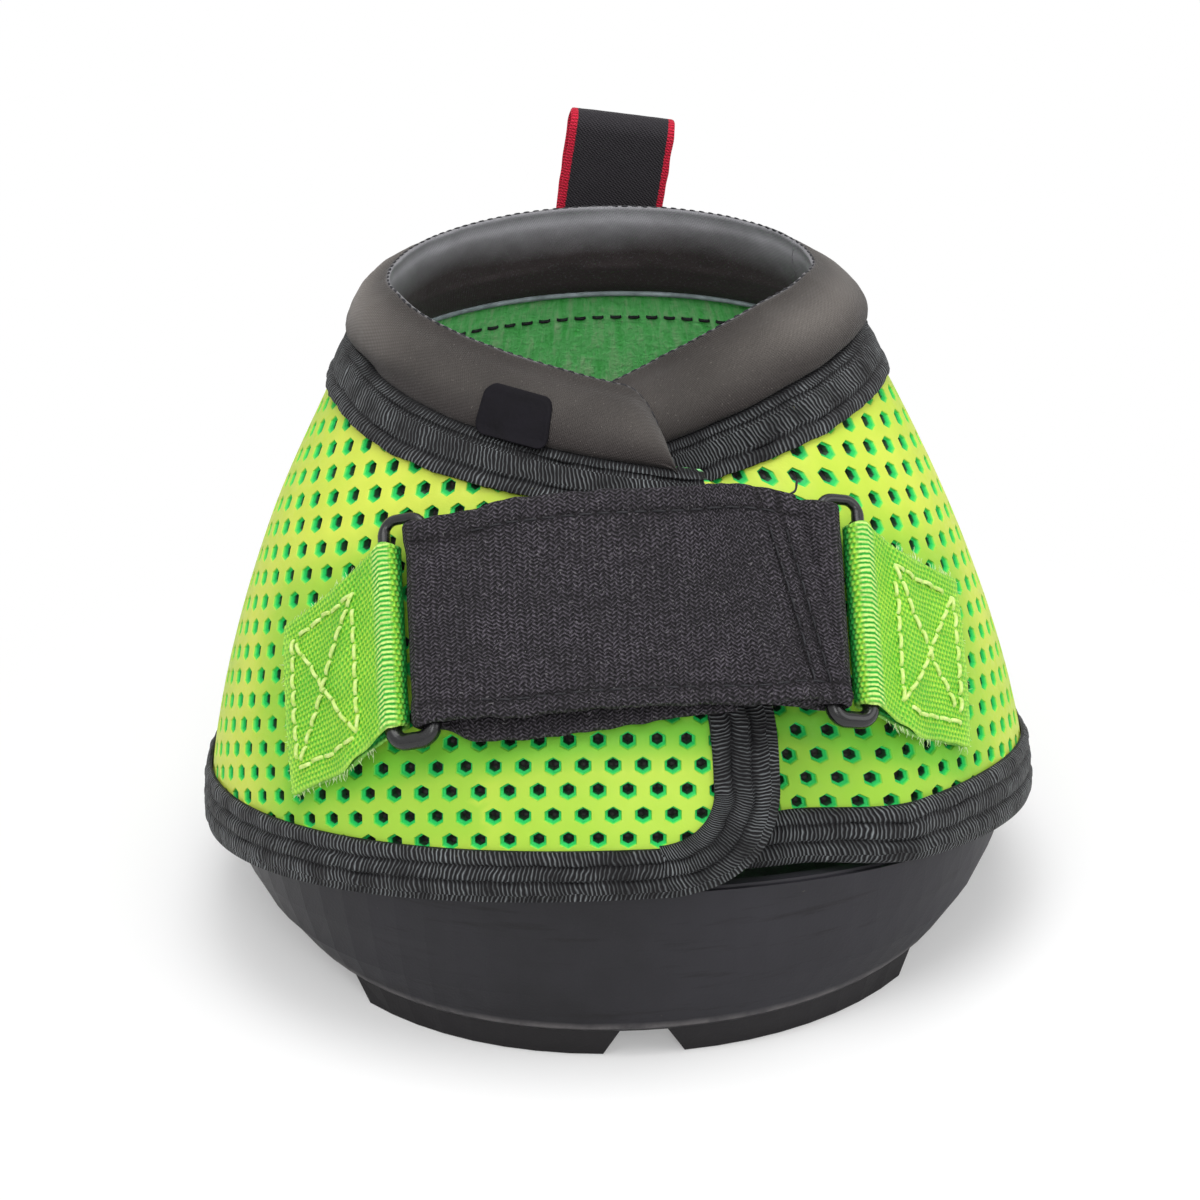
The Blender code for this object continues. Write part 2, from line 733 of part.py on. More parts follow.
def collar_patch(material):
    """Blank rounded rubber patch on the outer flap's collar."""
    middle = PATCH_ANGLE
    scale = slant(middle)
    outer_row = collar_rows(middle)[0][2:]
    corner = PATCH_HEIGHT * PATCH_CORNER_SHARE
    foot, head = 1 + GAP / scale, 1 + (GAP + PATCH_HEIGHT) / scale
    between = [share for share, _ in outer_row if foot + corner / scale < share < head - corner / scale]

    def face(share):
        for (low, first), (high, last) in zip(outer_row, outer_row[1:]):
            if share <= high:
                return first + (last - first) * max(share - low, 0) / (high - low)
        return outer_row[-1][1]

    sections = []
    for across in spread(PATCH_WIDTH, PATCH_COLUMNS):
        inset = PATCH_WIDTH / 2 - abs(across)
        trim = corner - math.sqrt(max(corner ** 2 - max(corner - inset, 0) ** 2, 0))
        angle = middle + across / COLLAR_RING_HALF_WIDTH
        outer, inner = [], []
        for share in [foot + trim / scale] + between + [head - trim / scale]:
            outer.append(outer_wrap(angle, share, face(share) + GAP + PATCH))
            inner.append(outer_wrap(angle, share, face(share) + GAP))
        sections.append((outer, inner))
    strip_solid("collar_patch", sections, material)


def closure_patch(name, surface, front, back, material):
    outer, inner = rows_between(*CLOSURE_SHARES, front, back, 3)
    first, last = CLOSURE_ANGLES
    wrapped_solid(name, surface, outer, inner, at_angle(first), at_angle(last), 6, material)


def pull_loop(material):
    """Finger loop of tape sewn behind the collar at the heel."""
    half = PULL_LOOP_GAP / 2 + PULL_TAPE / 2
    rise = PULL_LENGTH - half - PULL_TAPE / 2
    low, high = [rise * share for share in PULL_ROW_SHARES]
    path = [(0, 0), (0, low), (0, high), (0, rise)]
    for step in range(1, PULL_STEPS):
        turn = math.pi - math.pi * step / PULL_STEPS
        path.append((half + half * math.cos(turn), rise + half * math.sin(turn)))
    path += [(2 * half, rise), (2 * half, high), (half, low), (PULL_TAPE + GAP, 0)]

    def root(across):
        angle = math.pi - (PULL_OFFSET + across) / COLLAR_RING_HEEL
        return heel_wrap(angle, 1.0, COLLAR_BULGE + GAP + PULL_TAPE / 2) + Vector((0, 0, GAP))

    def point_at(along, up, lift):
        foot = root(up)
        clear = smooth(lift / low)
        foot.y += (root(0).y - foot.y) * clear
        foot.z -= up * math.sin(PULL_LEAN) * clear
        return foot + Vector((lift * math.sin(PULL_LEAN), along, lift * math.cos(PULL_LEAN)))

    band_solid("pull_loop", path, spread(PULL_WIDTH), point_at, PULL_TAPE, material)
    return root(0)


def ring_of_points(form, radius_at, height_at, count):
    loop = []
    for step in range(count):
        angle = math.tau * step / count
        point = outward(angle) * radius_at(angle)
        point.z = height_at(angle)
        loop.append(form.verts.new(point))
    return loop


def ledge_reach(angle):
    return oval(angle, TREAD_HALF_WIDTH, TREAD_HALF_LENGTH, TREAD_HALF_LENGTH) + LEDGE_STEP


def loft(form, loops):
    """Faces between loops of vertices, closed at the first and the last."""
    for low, high in zip(loops, loops[1:]):
        for step in range(len(low)):
            following = (step + 1) % len(low)
            form.faces.new((low[step], low[following], high[following], high[step]))
    form.faces.new(loops[0])
    form.faces.new(loops[-1])
    bmesh.ops.recalc_face_normals(form, faces=form.faces)


def cutting_shape(name, form):
    """Hidden object used by a boolean."""
    cutter = make_object(name, form, bpy.data.materials["sole rubber"])
    cutter.hide_render = True
    cutter.display_type = "WIRE"
    return cutter


def cup_body(material):
    """Wall, ledge, rim, heel lip and floor as one lofted shell."""
    def lip_height(angle):
        away = abs(math.remainder(angle, math.tau))
        risen = smooth((away - LIP_START_ANGLE) / (LIP_END_ANGLE - LIP_START_ANGLE))
        return rim_height(angle) + LIP_SIDE_HEIGHT + (LIP_HEEL_HEIGHT - LIP_SIDE_HEIGHT) * risen

    def lip_face(angle, height):
        foot, head = hem_point(angle).z, ring_point(angle).z
        inside = heel_wrap(angle, (height - foot) / (head - foot), -BACK_FACE - 2 * GAP)
        return Vector((inside.x, inside.y)).length

    ledge_top = TREAD_HEIGHT + LEDGE_CHAMFER
    profile = [(lambda angle: ledge_reach(angle) - LEDGE_CHAMFER, lambda angle: TREAD_HEIGHT)]
    for up, out in WALL_SHARES:
        profile.append((lambda angle, out=out: ledge_reach(angle) + (rim_radius(angle) - ledge_reach(angle)) * out,
                        lambda angle, up=up: ledge_top + (rim_height(angle) - ledge_top) * up))
    profile += [
        (lambda angle: lip_face(angle, rim_height(angle)), rim_height),
        (lambda angle: lip_face(angle, lip_height(angle)), lip_height),
        (lambda angle: lip_face(angle, lip_height(angle)) - LIP_WIDTH, lip_height),
        (lambda angle: ledge_reach(angle) - WALL, lambda angle: FLOOR_HEIGHT + FLOOR_FILLET),
        (lambda angle: ledge_reach(angle) - WALL - FLOOR_FILLET, lambda angle: FLOOR_HEIGHT),
    ]
    form = bmesh.new()
    loops = [ring_of_points(form, radius, height, CUP_STEPS) for radius, height in profile]
    loft(form, loops)
    return make_object("sole_cup", form, material, 30)


def arc_lug(form, first, last):
    """Lug along the tread's edge, narrower on the ground than at its root."""
    rows = []
    for height, shrink in ((0, 1), (TREAD_HEIGHT, 0), (TREAD_HEIGHT + LUG_ROOT, 0)):
        end = shrink * LUG_END_DRAFT / TREAD_HALF_WIDTH
        side = shrink * LUG_SIDE_DRAFT
        outer, inner = [], []
        for step in range(LUG_STEPS + 1):
            angle = first + end + (last - first - 2 * end) * step / LUG_STEPS
            edge = oval(angle, TREAD_HALF_WIDTH, TREAD_HALF_LENGTH, TREAD_HALF_LENGTH)
            outer.append(outward(angle) * (edge - side) + Vector((0, 0, height)))
            inner.append(outward(angle) * (edge - LUG_BAND + side) + Vector((0, 0, height)))
        rows.append([form.verts.new(point) for point in outer + inner[::-1]])
    loft(form, rows)


def tread_lugs():
    """All lugs, as separate bodies that sink into the cup's underside."""
    form = bmesh.new()
    middle = LUG_GAP / 2 / TREAD_HALF_LENGTH
    for first, last in ((middle, TOE_LUG_END_ANGLE), (HEEL_LUG_START_ANGLE, math.pi - middle)):
        arc_lug(form, first, last)
        arc_lug(form, -last, -first)
    return cutting_shape("lug_shapes", form)


def slit_cutter(side):
    """Thin box that marks the cup's wall at one side."""
    angle = side * SLIT_ANGLE
    form = bmesh.new()
    across = outward(angle + math.pi / 2) * (SLIT_WIDTH / 2)
    foot = TREAD_HEIGHT + LEDGE_CHAMFER
    head = foot + SLIT_LENGTH
    low = ledge_reach(angle) - SLIT_DEPTH
    lean = (rim_radius(angle) - ledge_reach(angle)) * SLIT_LENGTH / (rim_height(angle) - foot)
    outside = rim_radius(angle) + CUT_OVERRUN
    rows = []
    for at_foot, at_head in ((low, low + lean), (outside, outside)):
        places = ((-1, at_foot, foot), (1, at_foot, foot), (1, at_head, head), (-1, at_head, head))
        rows.append([form.verts.new(outward(angle) * reach + across * x + Vector((0, 0, z)))
                     for x, reach, z in places])
    loft(form, rows)
    return cutting_shape(f"slit_cutter_{side}", form)


def boolean(thing, other, operation):
    modifier = thing.modifiers.new(other.name, "BOOLEAN")
    modifier.object = other
    modifier.operation = operation
    modifier.solver = "EXACT"


def sole_cup(material):
    cup = cup_body(material)
    boolean(cup, tread_lugs(), "UNION")
    for side in (1, -1):
        boolean(cup, slit_cutter(side), "DIFFERENCE")


def footbed(material):
    """Flat pad on the cup's floor."""
    form = bmesh.new()

    def edge(grow):
        return lambda angle: ledge_reach(angle) - WALL - FLOOR_FILLET - GAP + grow

    heights = (FLOOR_HEIGHT + GAP, FLOOR_HEIGHT + FLOOR_FILLET + GAP, FLOOR_HEIGHT + GAP + FOOTBED)
    loops = [ring_of_points(form, edge(grow), lambda angle, z=z: z, FOOTBED_STEPS)
             for z, grow in zip(heights, (-FLOOR_FILLET / 2, 0, 0))]
    loft(form, loops)
    return make_object("footbed", form, material, 30)


def joint_empty(name, place, along):
    """Empty on a joint's axis, its Z along the axis."""
    empty = bpy.data.objects.new(name, None)
    empty.matrix_world = Matrix.Translation(place) @ along.to_track_quat("Z", "Y").to_matrix().to_4x4()
    bpy.context.scene.collection.objects.link(empty)
    return empty


def hang(names, empty):
    """Parent pieces to a joint's empty where they lie."""
    for name in names:
        piece = bpy.data.objects[name]
        piece.parent = empty
        piece.matrix_parent_inverse = empty.matrix_world.inverted()


def report_joint(name, place, along):
    spot = ", ".join(f"{value:.6f}" for value in place)
    way = ", ".join(f"{value:.6f}" for value in along)
    print(f"joint {name}: point ({spot}) axis ({way})")


def main():
    clear_scene()
    lime = paint("lime skin", (0.50, 0.76, 0.06), 0.6)
    green = paint("green lining", (0.10, 0.45, 0.10), 0.9)
    grey = paint("grey collar", (0.10, 0.09, 0.085), 0.85)
    black = paint("black binding", (0.03, 0.03, 0.035), 0.7)
    weave = paint("strap weave", (0.025, 0.023, 0.028), 0.7)
    webbing = paint("green webbing", (0.35, 0.70, 0.10), 0.7)
    rubber = paint("sole rubber", (0.035, 0.037, 0.042), 0.55)
    foam = paint("footbed foam", (0.05, 0.05, 0.05), 0.9)
    plastic = paint("ring plastic", (0.02, 0.02, 0.02), 0.25)
    tape = paint("pull tape", (0.03, 0.025, 0.03), 0.7)
    hook = paint("hook and loop", (0.02, 0.02, 0.02), 0.95)
    patch = paint("patch rubber", (0.02, 0.02, 0.02), 0.5)

    sole_cup(rubber)
    footbed(foam)

    half = HINGE_CLEARANCE / 2
    heel_start = at_fold(1, heel_wrap, -half)
    heel_end = at_fold(-1, heel_wrap, -half)
    skin_and_lining("heel", heel_wrap, heel_start, heel_end, HEEL_STEPS, lime, green)
    upper_band("heel", heel_wrap, heel_start, heel_end, HEEL_STEPS, black)
    lower_binding("heel_lower_binding", heel_wrap, heel_start, heel_end, HEEL_STEPS, black)
    collar("heel_collar", heel_wrap, heel_start, heel_end, HEEL_STEPS, grey)

    outer_start = at_fold(-1, outer_wrap, half)
    skin_and_lining("outer_flap", outer_wrap, outer_start, flap_edge, OUTER_STEPS, lime, green)
    upper_band("outer_flap", outer_wrap, outer_start, at_angle(FLAP_EDGE_ANGLE - BAND_SHORT_ANGLE),
               OUTER_STEPS, black)
    flap_edge_binding(black)
    tip = COLLAR_TIP_LENGTH / COLLAR_RING_HALF_WIDTH
    collar("outer_flap_collar", outer_wrap, outer_start, at_angle(COLLAR_TIP_ANGLE),
           COLLAR_STEPS, grey, tip)
    closure_patch("outer_flap_loop_patch", outer_wrap, -LAYERS - GAP, -LAYERS - GAP - CLOSURE, hook)
    collar_patch(patch)

    inner_start = at_angle(HIDDEN_EDGE_ANGLE)
    inner_end = at_fold(1, inner_wrap, half)
    skin_and_lining("inner_flap", inner_wrap, inner_start, inner_end, INNER_STEPS, lime, green)
    upper_band("inner_flap", inner_wrap, inner_start, inner_end, INNER_STEPS, black)
    lower_binding("inner_flap_lower_binding", inner_wrap, inner_start, inner_end, INNER_STEPS, black)
    collar("inner_flap_collar", inner_wrap, inner_start, inner_end, INNER_STEPS, grey)
    closure_patch("inner_flap_hook_patch", inner_wrap, GAP + CLOSURE, GAP, hook)

    left_frame = bar_frame(-BAR_REACH)
    right_frame = bar_frame(BAR_REACH)
    ring("left_ring", left_frame, plastic)
    ring("right_ring", right_frame, plastic)
    webbing_tab("left_webbing_tab", -1, left_frame, webbing)
    webbing_tab("right_webbing_tab", 1, right_frame, webbing)
    strap(left_frame, right_frame, weave)
    strap_hook_pad(hook)
    strap_end_loop(right_frame, weave)
    pull_root = pull_loop(tape)

    joints = {}
    for name, side in (("outer_flap_swing", -1), ("inner_flap_swing", 1)):
        foot, along, _ = hinge_frame(side)
        joints[name] = (foot, along if side > 0 else -along)
    joints["left_ring_swivel"] = (in_frame(left_frame, BAR_PITCH, 0, 0), -left_frame[2])
    joints["strap_peel"] = (left_frame[0], -left_frame[2])
    joints["right_ring_swivel"] = (in_frame(right_frame, BAR_PITCH, 0, 0), right_frame[2])
    joints["pull_loop_flex"] = (pull_root, Vector((-1, 0, 0)))
    empties = {}
    for name, (place, along) in joints.items():
        empties[name] = joint_empty(name + "_axis", place, along)
        report_joint(name, place, along)
    bpy.context.view_layer.update()
    hang(["outer_flap_skin", "outer_flap_lining", "outer_flap_upper_binding",
          "outer_flap_edge_binding", "outer_flap_collar", "outer_flap_loop_patch",
          "collar_patch", "left_webbing_tab"], empties["outer_flap_swing"])
    hang(["inner_flap_skin", "inner_flap_lining", "inner_flap_upper_binding",
          "inner_flap_lower_binding", "inner_flap_collar", "inner_flap_hook_patch",
          "right_webbing_tab"], empties["inner_flap_swing"])
    hang(["left_ring"], empties["left_ring_swivel"])
    hang(["strap", "strap_hook_pad"], empties["strap_peel"])
    hang(["right_ring", "strap_end_loop"], empties["right_ring_swivel"])
    hang(["pull_loop"], empties["pull_loop_flex"])


main()
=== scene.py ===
import json
import math
import random
import bmesh
import bpy
from mathutils import Matrix, Vector, noise

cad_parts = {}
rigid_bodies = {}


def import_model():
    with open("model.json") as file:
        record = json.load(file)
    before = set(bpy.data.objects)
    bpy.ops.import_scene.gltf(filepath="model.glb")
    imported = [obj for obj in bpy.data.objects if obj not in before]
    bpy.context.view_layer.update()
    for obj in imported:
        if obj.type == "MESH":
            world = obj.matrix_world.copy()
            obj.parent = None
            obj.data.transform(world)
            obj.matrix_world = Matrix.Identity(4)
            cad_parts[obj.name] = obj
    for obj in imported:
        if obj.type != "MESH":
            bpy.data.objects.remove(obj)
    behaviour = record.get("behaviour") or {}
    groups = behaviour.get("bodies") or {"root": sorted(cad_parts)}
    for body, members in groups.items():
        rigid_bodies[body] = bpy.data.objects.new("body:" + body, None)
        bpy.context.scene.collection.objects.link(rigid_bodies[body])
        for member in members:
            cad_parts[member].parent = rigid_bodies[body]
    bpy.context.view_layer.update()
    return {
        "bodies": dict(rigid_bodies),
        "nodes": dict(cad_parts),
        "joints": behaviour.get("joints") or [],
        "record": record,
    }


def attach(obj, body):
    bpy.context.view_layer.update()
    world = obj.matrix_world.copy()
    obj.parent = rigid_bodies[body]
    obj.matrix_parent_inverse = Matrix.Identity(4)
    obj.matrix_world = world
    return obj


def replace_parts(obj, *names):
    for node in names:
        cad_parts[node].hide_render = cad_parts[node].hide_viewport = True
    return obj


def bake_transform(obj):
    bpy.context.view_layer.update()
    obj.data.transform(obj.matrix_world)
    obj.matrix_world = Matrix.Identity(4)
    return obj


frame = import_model()

# The upper's cone and its edges, in metres, close to the solids' own
boot = {
    "rimSide": 0.0770, "rimEnd": 0.0715, "rimHeight": 0.0180, "toeRise": 0.0170, "heelDrop": 0.0060,
    "ringSide": 0.0498, "ringToe": 0.0352, "ringHeel": 0.0448, "ringBack": 0.0125,
    "ringHeight": 0.1115, "ringRise": 0.0010, "dip": 0.0148, "belly": 0.0054, "bellyRise": 0.444,
    "skin": 0.0020, "lining": 0.0016, "gap": 0.0003, "binding": 0.0012, "seamGap": 0.0009, "setBack": 0.0035,
    "power": 2.1, "dipStart": math.radians(80), "dipSpan": math.radians(100),
    "hinge": math.radians(95), "flapEdge": math.radians(21), "hiddenEdge": math.radians(-18),
    "tuckStart": math.radians(24), "tuckEnd": math.radians(42), "tuckCollarEnd": math.radians(60),
    "hiddenDrop": 0.0035, "corner": 0.0230, "rearSeam": math.radians(108), "seamHalf": 0.00015,
    "bindingWidth": 0.0113, "bindingBack": 0.0060, "upperBand": 0.0090,
    "edgeLean": 0.0022, "leanBelow": 0.44, "flat": 0.0030, "flatAt": math.radians(58), "flatSpan": math.radians(20),
    "flatAbove": 0.62, "flatOver": 0.3, "hemLift": 0.0022, "liftFrom": math.radians(100), "liftSpan": math.radians(45),
    "collarDepth": 0.0045, "tuckWider": (0.66, 0.18), "tuckDeeper": (0.54, 0.13),
    "drawn": 0.0022, "drawnAt": math.radians(78), "drawnSpan": math.radians(22), "drawnEnd": 0.05,
}
layers = boot["skin"] + boot["gap"] + boot["lining"]
tuckDepth = layers + 3 * boot["gap"] + 2 * boot["binding"]
tuckAtCollar = layers + boot["collarDepth"] + 3 * boot["gap"] + boot["binding"]


def clamped(share):
    return min(max(share, 0.0), 1.0)


def smooth(share):
    share = clamped(share)
    return share * share * (3 - 2 * share)


def bell(reach, width):
    return math.exp(-(reach / width) ** 2)


def ripple(size, x, y, z):
    return size * noise.noise(Vector((x, y, z)))


def outward(angle):
    return Vector((math.sin(angle), -math.cos(angle), 0))


def oval(angle, side, toe, heel, power):
    across = abs(math.sin(angle)) / side
    along = abs(math.cos(angle)) / (toe if math.cos(angle) > 0 else heel)
    return (across ** power + along ** power) ** (-1 / power)


def rimRadius(angle):
    return oval(angle, boot["rimSide"], boot["rimEnd"], boot["rimEnd"], boot["power"])


def rimHeight(angle):
    level = math.cos(angle)
    return boot["rimHeight"] + (boot["toeRise"] if level > 0 else boot["heelDrop"]) * level


def hemPoint(angle):
    height = rimHeight(angle) + boot["seamGap"] + boot["binding"] + boot["gap"]
    return outward(angle) * (rimRadius(angle) + boot["setBack"]) + Vector((0, 0, height))


def ringPoint(angle):
    radius = oval(angle, boot["ringSide"], boot["ringToe"], boot["ringHeel"], 2.0)
    height = boot["ringHeight"] + boot["ringRise"] * max(-math.cos(angle), 0)
    return outward(angle) * radius + Vector((0, boot["ringBack"], height))


def slant(angle):
    return (ringPoint(angle) - hemPoint(angle)).length


def girth(share):
    hem = boot["rimSide"] + boot["setBack"]
    return hem + (boot["ringSide"] - hem) * share


def conePoint(angle, share, offset=0.0):
    rise, fall = boot["bellyRise"], 1 - boot["bellyRise"]
    belly = boot["belly"] * (share / rise) ** (rise / fall) * (1 - share) / fall if 0 < share < 1 else 0
    foot = hemPoint(angle)
    return foot + (ringPoint(angle) - foot) * share + outward(angle) * (belly + offset)


def tucked(angle, last):
    return smooth((last - angle) / (last - boot["tuckStart"]))


def topShare(flap, angle):
    drop = boot["dip"] * max(boot["dipStart"] - flap * angle, 0) / boot["dipSpan"]
    if flap > 0:
        drop += boot["hiddenDrop"] * tucked(angle, boot["tuckCollarEnd"])
    return 1 - drop / slant(angle)


def trimmed(flap, angle, share):
    top = topShare(flap, angle)
    return share * top if share < 1 else top + share - 1


def nearTop(share):
    # Grows in the upper third of the cone.
    return smooth((share - boot["flatAbove"]) / boot["flatOver"])


def outerCone(angle, share, offset=0.0):
    # The outer flap is drawn in a little at the side, under its collar.
    drawn = boot["drawn"] * bell(angle + boot["drawnAt"], boot["drawnSpan"]) * nearTop(share)
    drawn *= 1 - smooth((share - 1.0) / boot["drawnEnd"])
    return conePoint(angle, share, offset - drawn)


def outerPoint(angle, share, offset=0.0):
    return outerCone(angle, trimmed(-1, angle, share), offset)


def tuck(angle, share):
    widerFrom, widerOver = boot["tuckWider"]
    deeperFrom, deeperOver = boot["tuckDeeper"]
    wider = (boot["tuckCollarEnd"] - boot["tuckEnd"]) * smooth((share - widerFrom) / widerOver)
    deeper = (tuckAtCollar - tuckDepth) * smooth((share - deeperFrom) / deeperOver)
    return tucked(angle, boot["tuckEnd"] + wider) * (tuckDepth + max(deeper, 0.0))


def pressedFlat(angle, share):
    # The inner flap's top edge runs straighter than the cone.
    return boot["flat"] * bell(angle - boot["flatAt"], boot["flatSpan"]) * nearTop(share)


def innerCone(angle, share, offset=0.0):
    return conePoint(angle, share, offset - tuck(angle, share) - pressedFlat(angle, share))


def innerPoint(angle, share, offset=0.0):
    return innerCone(angle, trimmed(1, angle, share), offset)


def freeEdge(share):
    return boot["flapEdge"] - boot["edgeLean"] * smooth((boot["leanBelow"] - share) / 0.3) / girth(share)


def flapEdge(share):
    height = share * slant(boot["flapEdge"])
    if height >= boot["corner"]:
        return freeEdge(share)
    rest = boot["corner"] - max(height, 0.0)
    return freeEdge(share) - (boot["corner"] - math.sqrt(boot["corner"] ** 2 - rest ** 2)) / girth(share)


def innerLow(angle):
    # Share of the cone where the inner flap's hem starts.
    return boot["hemLift"] * smooth((boot["liftFrom"] - angle) / boot["liftSpan"]) / slant(math.pi / 2)


def hingePlane(side):
    angle = side * boot["hinge"]
    foot = conePoint(angle, 0.0, boot["belly"] + boot["gap"])
    head = conePoint(angle, 1.0, boot["belly"] + boot["gap"])
    across = (head - foot).cross(outward(angle)).normalized()
    if across.y > 0:
        across = -across
    return foot, across


# Meshes

def makePiece(name, points, faces, material, uv=None, marks=None, sharp=None):
    mesh = bpy.data.meshes.new(name)
    mesh.from_pydata([tuple(point) for point in points], [], faces)
    if uv:
        layer = mesh.uv_layers.new(name="cloth")
        for loop in mesh.loops:
            layer.data[loop.index].uv = uv[loop.vertex_index]
    for title, values in (marks or {}).items():
        attribute = mesh.attributes.new(title, "FLOAT", "POINT")
        attribute.data.foreach_set("value", values)
    mesh.shade_smooth()
    if sharp:
        mesh.set_sharp_from_angle(angle=math.radians(sharp))
    mesh.validate()
    piece = bpy.data.objects.new(name, mesh)
    bpy.context.scene.collection.objects.link(piece)
    for finish in material if isinstance(material, (list, tuple)) else [material]:
        mesh.materials.append(finish)
    return piece


def bridged(low, high):
    # Quads between two closed loops of point numbers.
    low, high = list(low), list(high)
    return list(zip(low, low[1:] + low[:1], high[1:] + high[:1], high))


def stacked(count, loops, first=0):
    # Quads between loops that were added one after another.
    faces = []
    for base in range(first, first + (loops - 1) * count, count):
        faces += bridged(range(base, base + count), range(base + count, base + 2 * count))
    return faces


def sweep(name, sections, material, spots=None, marks=None, closed=False, sharp=None):
    # Tube through loops of points; spots gives (u, v) for each point, marks gives values.
    count = len(sections[0])
    points = [point for section in sections for point in section]
    faces = stacked(count, len(sections))
    if closed:
        faces += bridged(range(len(points) - count, len(points)), range(count))
    else:
        faces.append(tuple(range(count))[::-1])
        faces.append(tuple(range(len(points) - count, len(points))))
    piece = makePiece(name, points, faces, material, spots, marks, sharp)
    fixFaces(piece)
    return piece


def fixFaces(piece, triangles=False):
    form = bmesh.new()
    form.from_mesh(piece.data)
    if triangles:
        bmesh.ops.triangulate(form, faces=form.faces)
    bmesh.ops.recalc_face_normals(form, faces=form.faces)
    form.to_mesh(piece.data)
    form.free()


def tubeAlong(name, path, radius, material, sides=8):
    # Round tube along points, its section upright.
    sections = []
    for place, spot in enumerate(path):
        run = (path[min(place + 1, len(path) - 1)] - path[max(place - 1, 0)]).normalized()
        across = run.cross(Vector((0, 0, 1))).normalized()
        above = across.cross(run)
        sections.append([spot + (across * math.cos(math.tau * side / sides)
                                 + above * math.sin(math.tau * side / sides)) * radius for side in range(sides)])
    return sweep(name, sections, material)


def curveThrough(points, count):
    # Smooth rail through a few points.
    out = []
    ends = [points[0] * 2 - points[1]] + list(points) + [points[-1] * 2 - points[-2]]
    for place in range(len(points) - 1):
        a, b, c, d = ends[place:place + 4]
        for step in range(count):
            t = step / count
            out.append(0.5 * ((2 * b) + (c - a) * t + (2 * a - 5 * b + 4 * c - d) * t * t
                              + (3 * b - a - 3 * c + d) * t ** 3))
    out.append(points[-1])
    return out


def evenly(path, step):
    # Points of a polyline at even steps, as (place, direction, up).
    out, wanted, travelled = [], 0.0, 0.0
    for (here, upHere), (there, upThere) in zip(path, path[1:]):
        length = (there - here).length
        while wanted <= travelled + length and length > 0:
            share = (wanted - travelled) / length
            out.append((here.lerp(there, share), (there - here) / length, upHere.lerp(upThere, share).normalized()))
            wanted += step
        travelled += length
    return out


def threadRow(name, path, stitch, gap, thick, material, lean, wander, sink):
    # path is a row of (place, up); each stitch is a bent tube that dives in at both ends.
    points, faces, sides, steps = [], [], 6, 8
    spots = evenly(path, (stitch + gap) / steps)
    used = max(round(steps * stitch / (stitch + gap)), 3)
    for number, first in enumerate(range(0, len(spots) - steps, steps)):
        base = len(points)
        shift = ripple(wander, number * 0.37, thick * 900, 2.0)
        for step in range(used + 1):
            place, run, up = spots[first + step]
            part = step / used
            across = run.cross(up).normalized()
            high = thick * (1 - sink - 1.4 * (2 * part - 1) ** 4)
            middle = place + up * high + across * (shift + lean * (part - 0.5))
            for side in range(sides):
                turn = math.tau * side / sides
                points.append(middle + (across * math.cos(turn) + up * math.sin(turn)) * thick)
        faces += stacked(sides, used + 1, base)
        faces.append(tuple(range(base, base + sides))[::-1])
        faces.append(tuple(range(len(points) - sides, len(points))))
    return makePiece(name, points, faces, finishes[material])


# Materials

class Wire:  # a socket that takes part in sums
    def __init__(self, finish, socket):
        self.finish, self.socket = finish, socket

    def sum(self, operation, first, second=0.0):
        return self.finish.node("ShaderNodeMath", {"operation": operation}, {0: first, 1: second})

    def __add__(self, other):
        return self.sum("ADD", self, other)

    def __mul__(self, other):
        return self.sum("MULTIPLY", self, other)

    def __sub__(self, other):
        return self.sum("SUBTRACT", self, other)

    def __rsub__(self, other):
        return self.sum("SUBTRACT", other, self)

    __radd__ = __add__
    __rmul__ = __mul__

    def do(self, operation, other=0.0):
        return self.sum(operation, self, other)


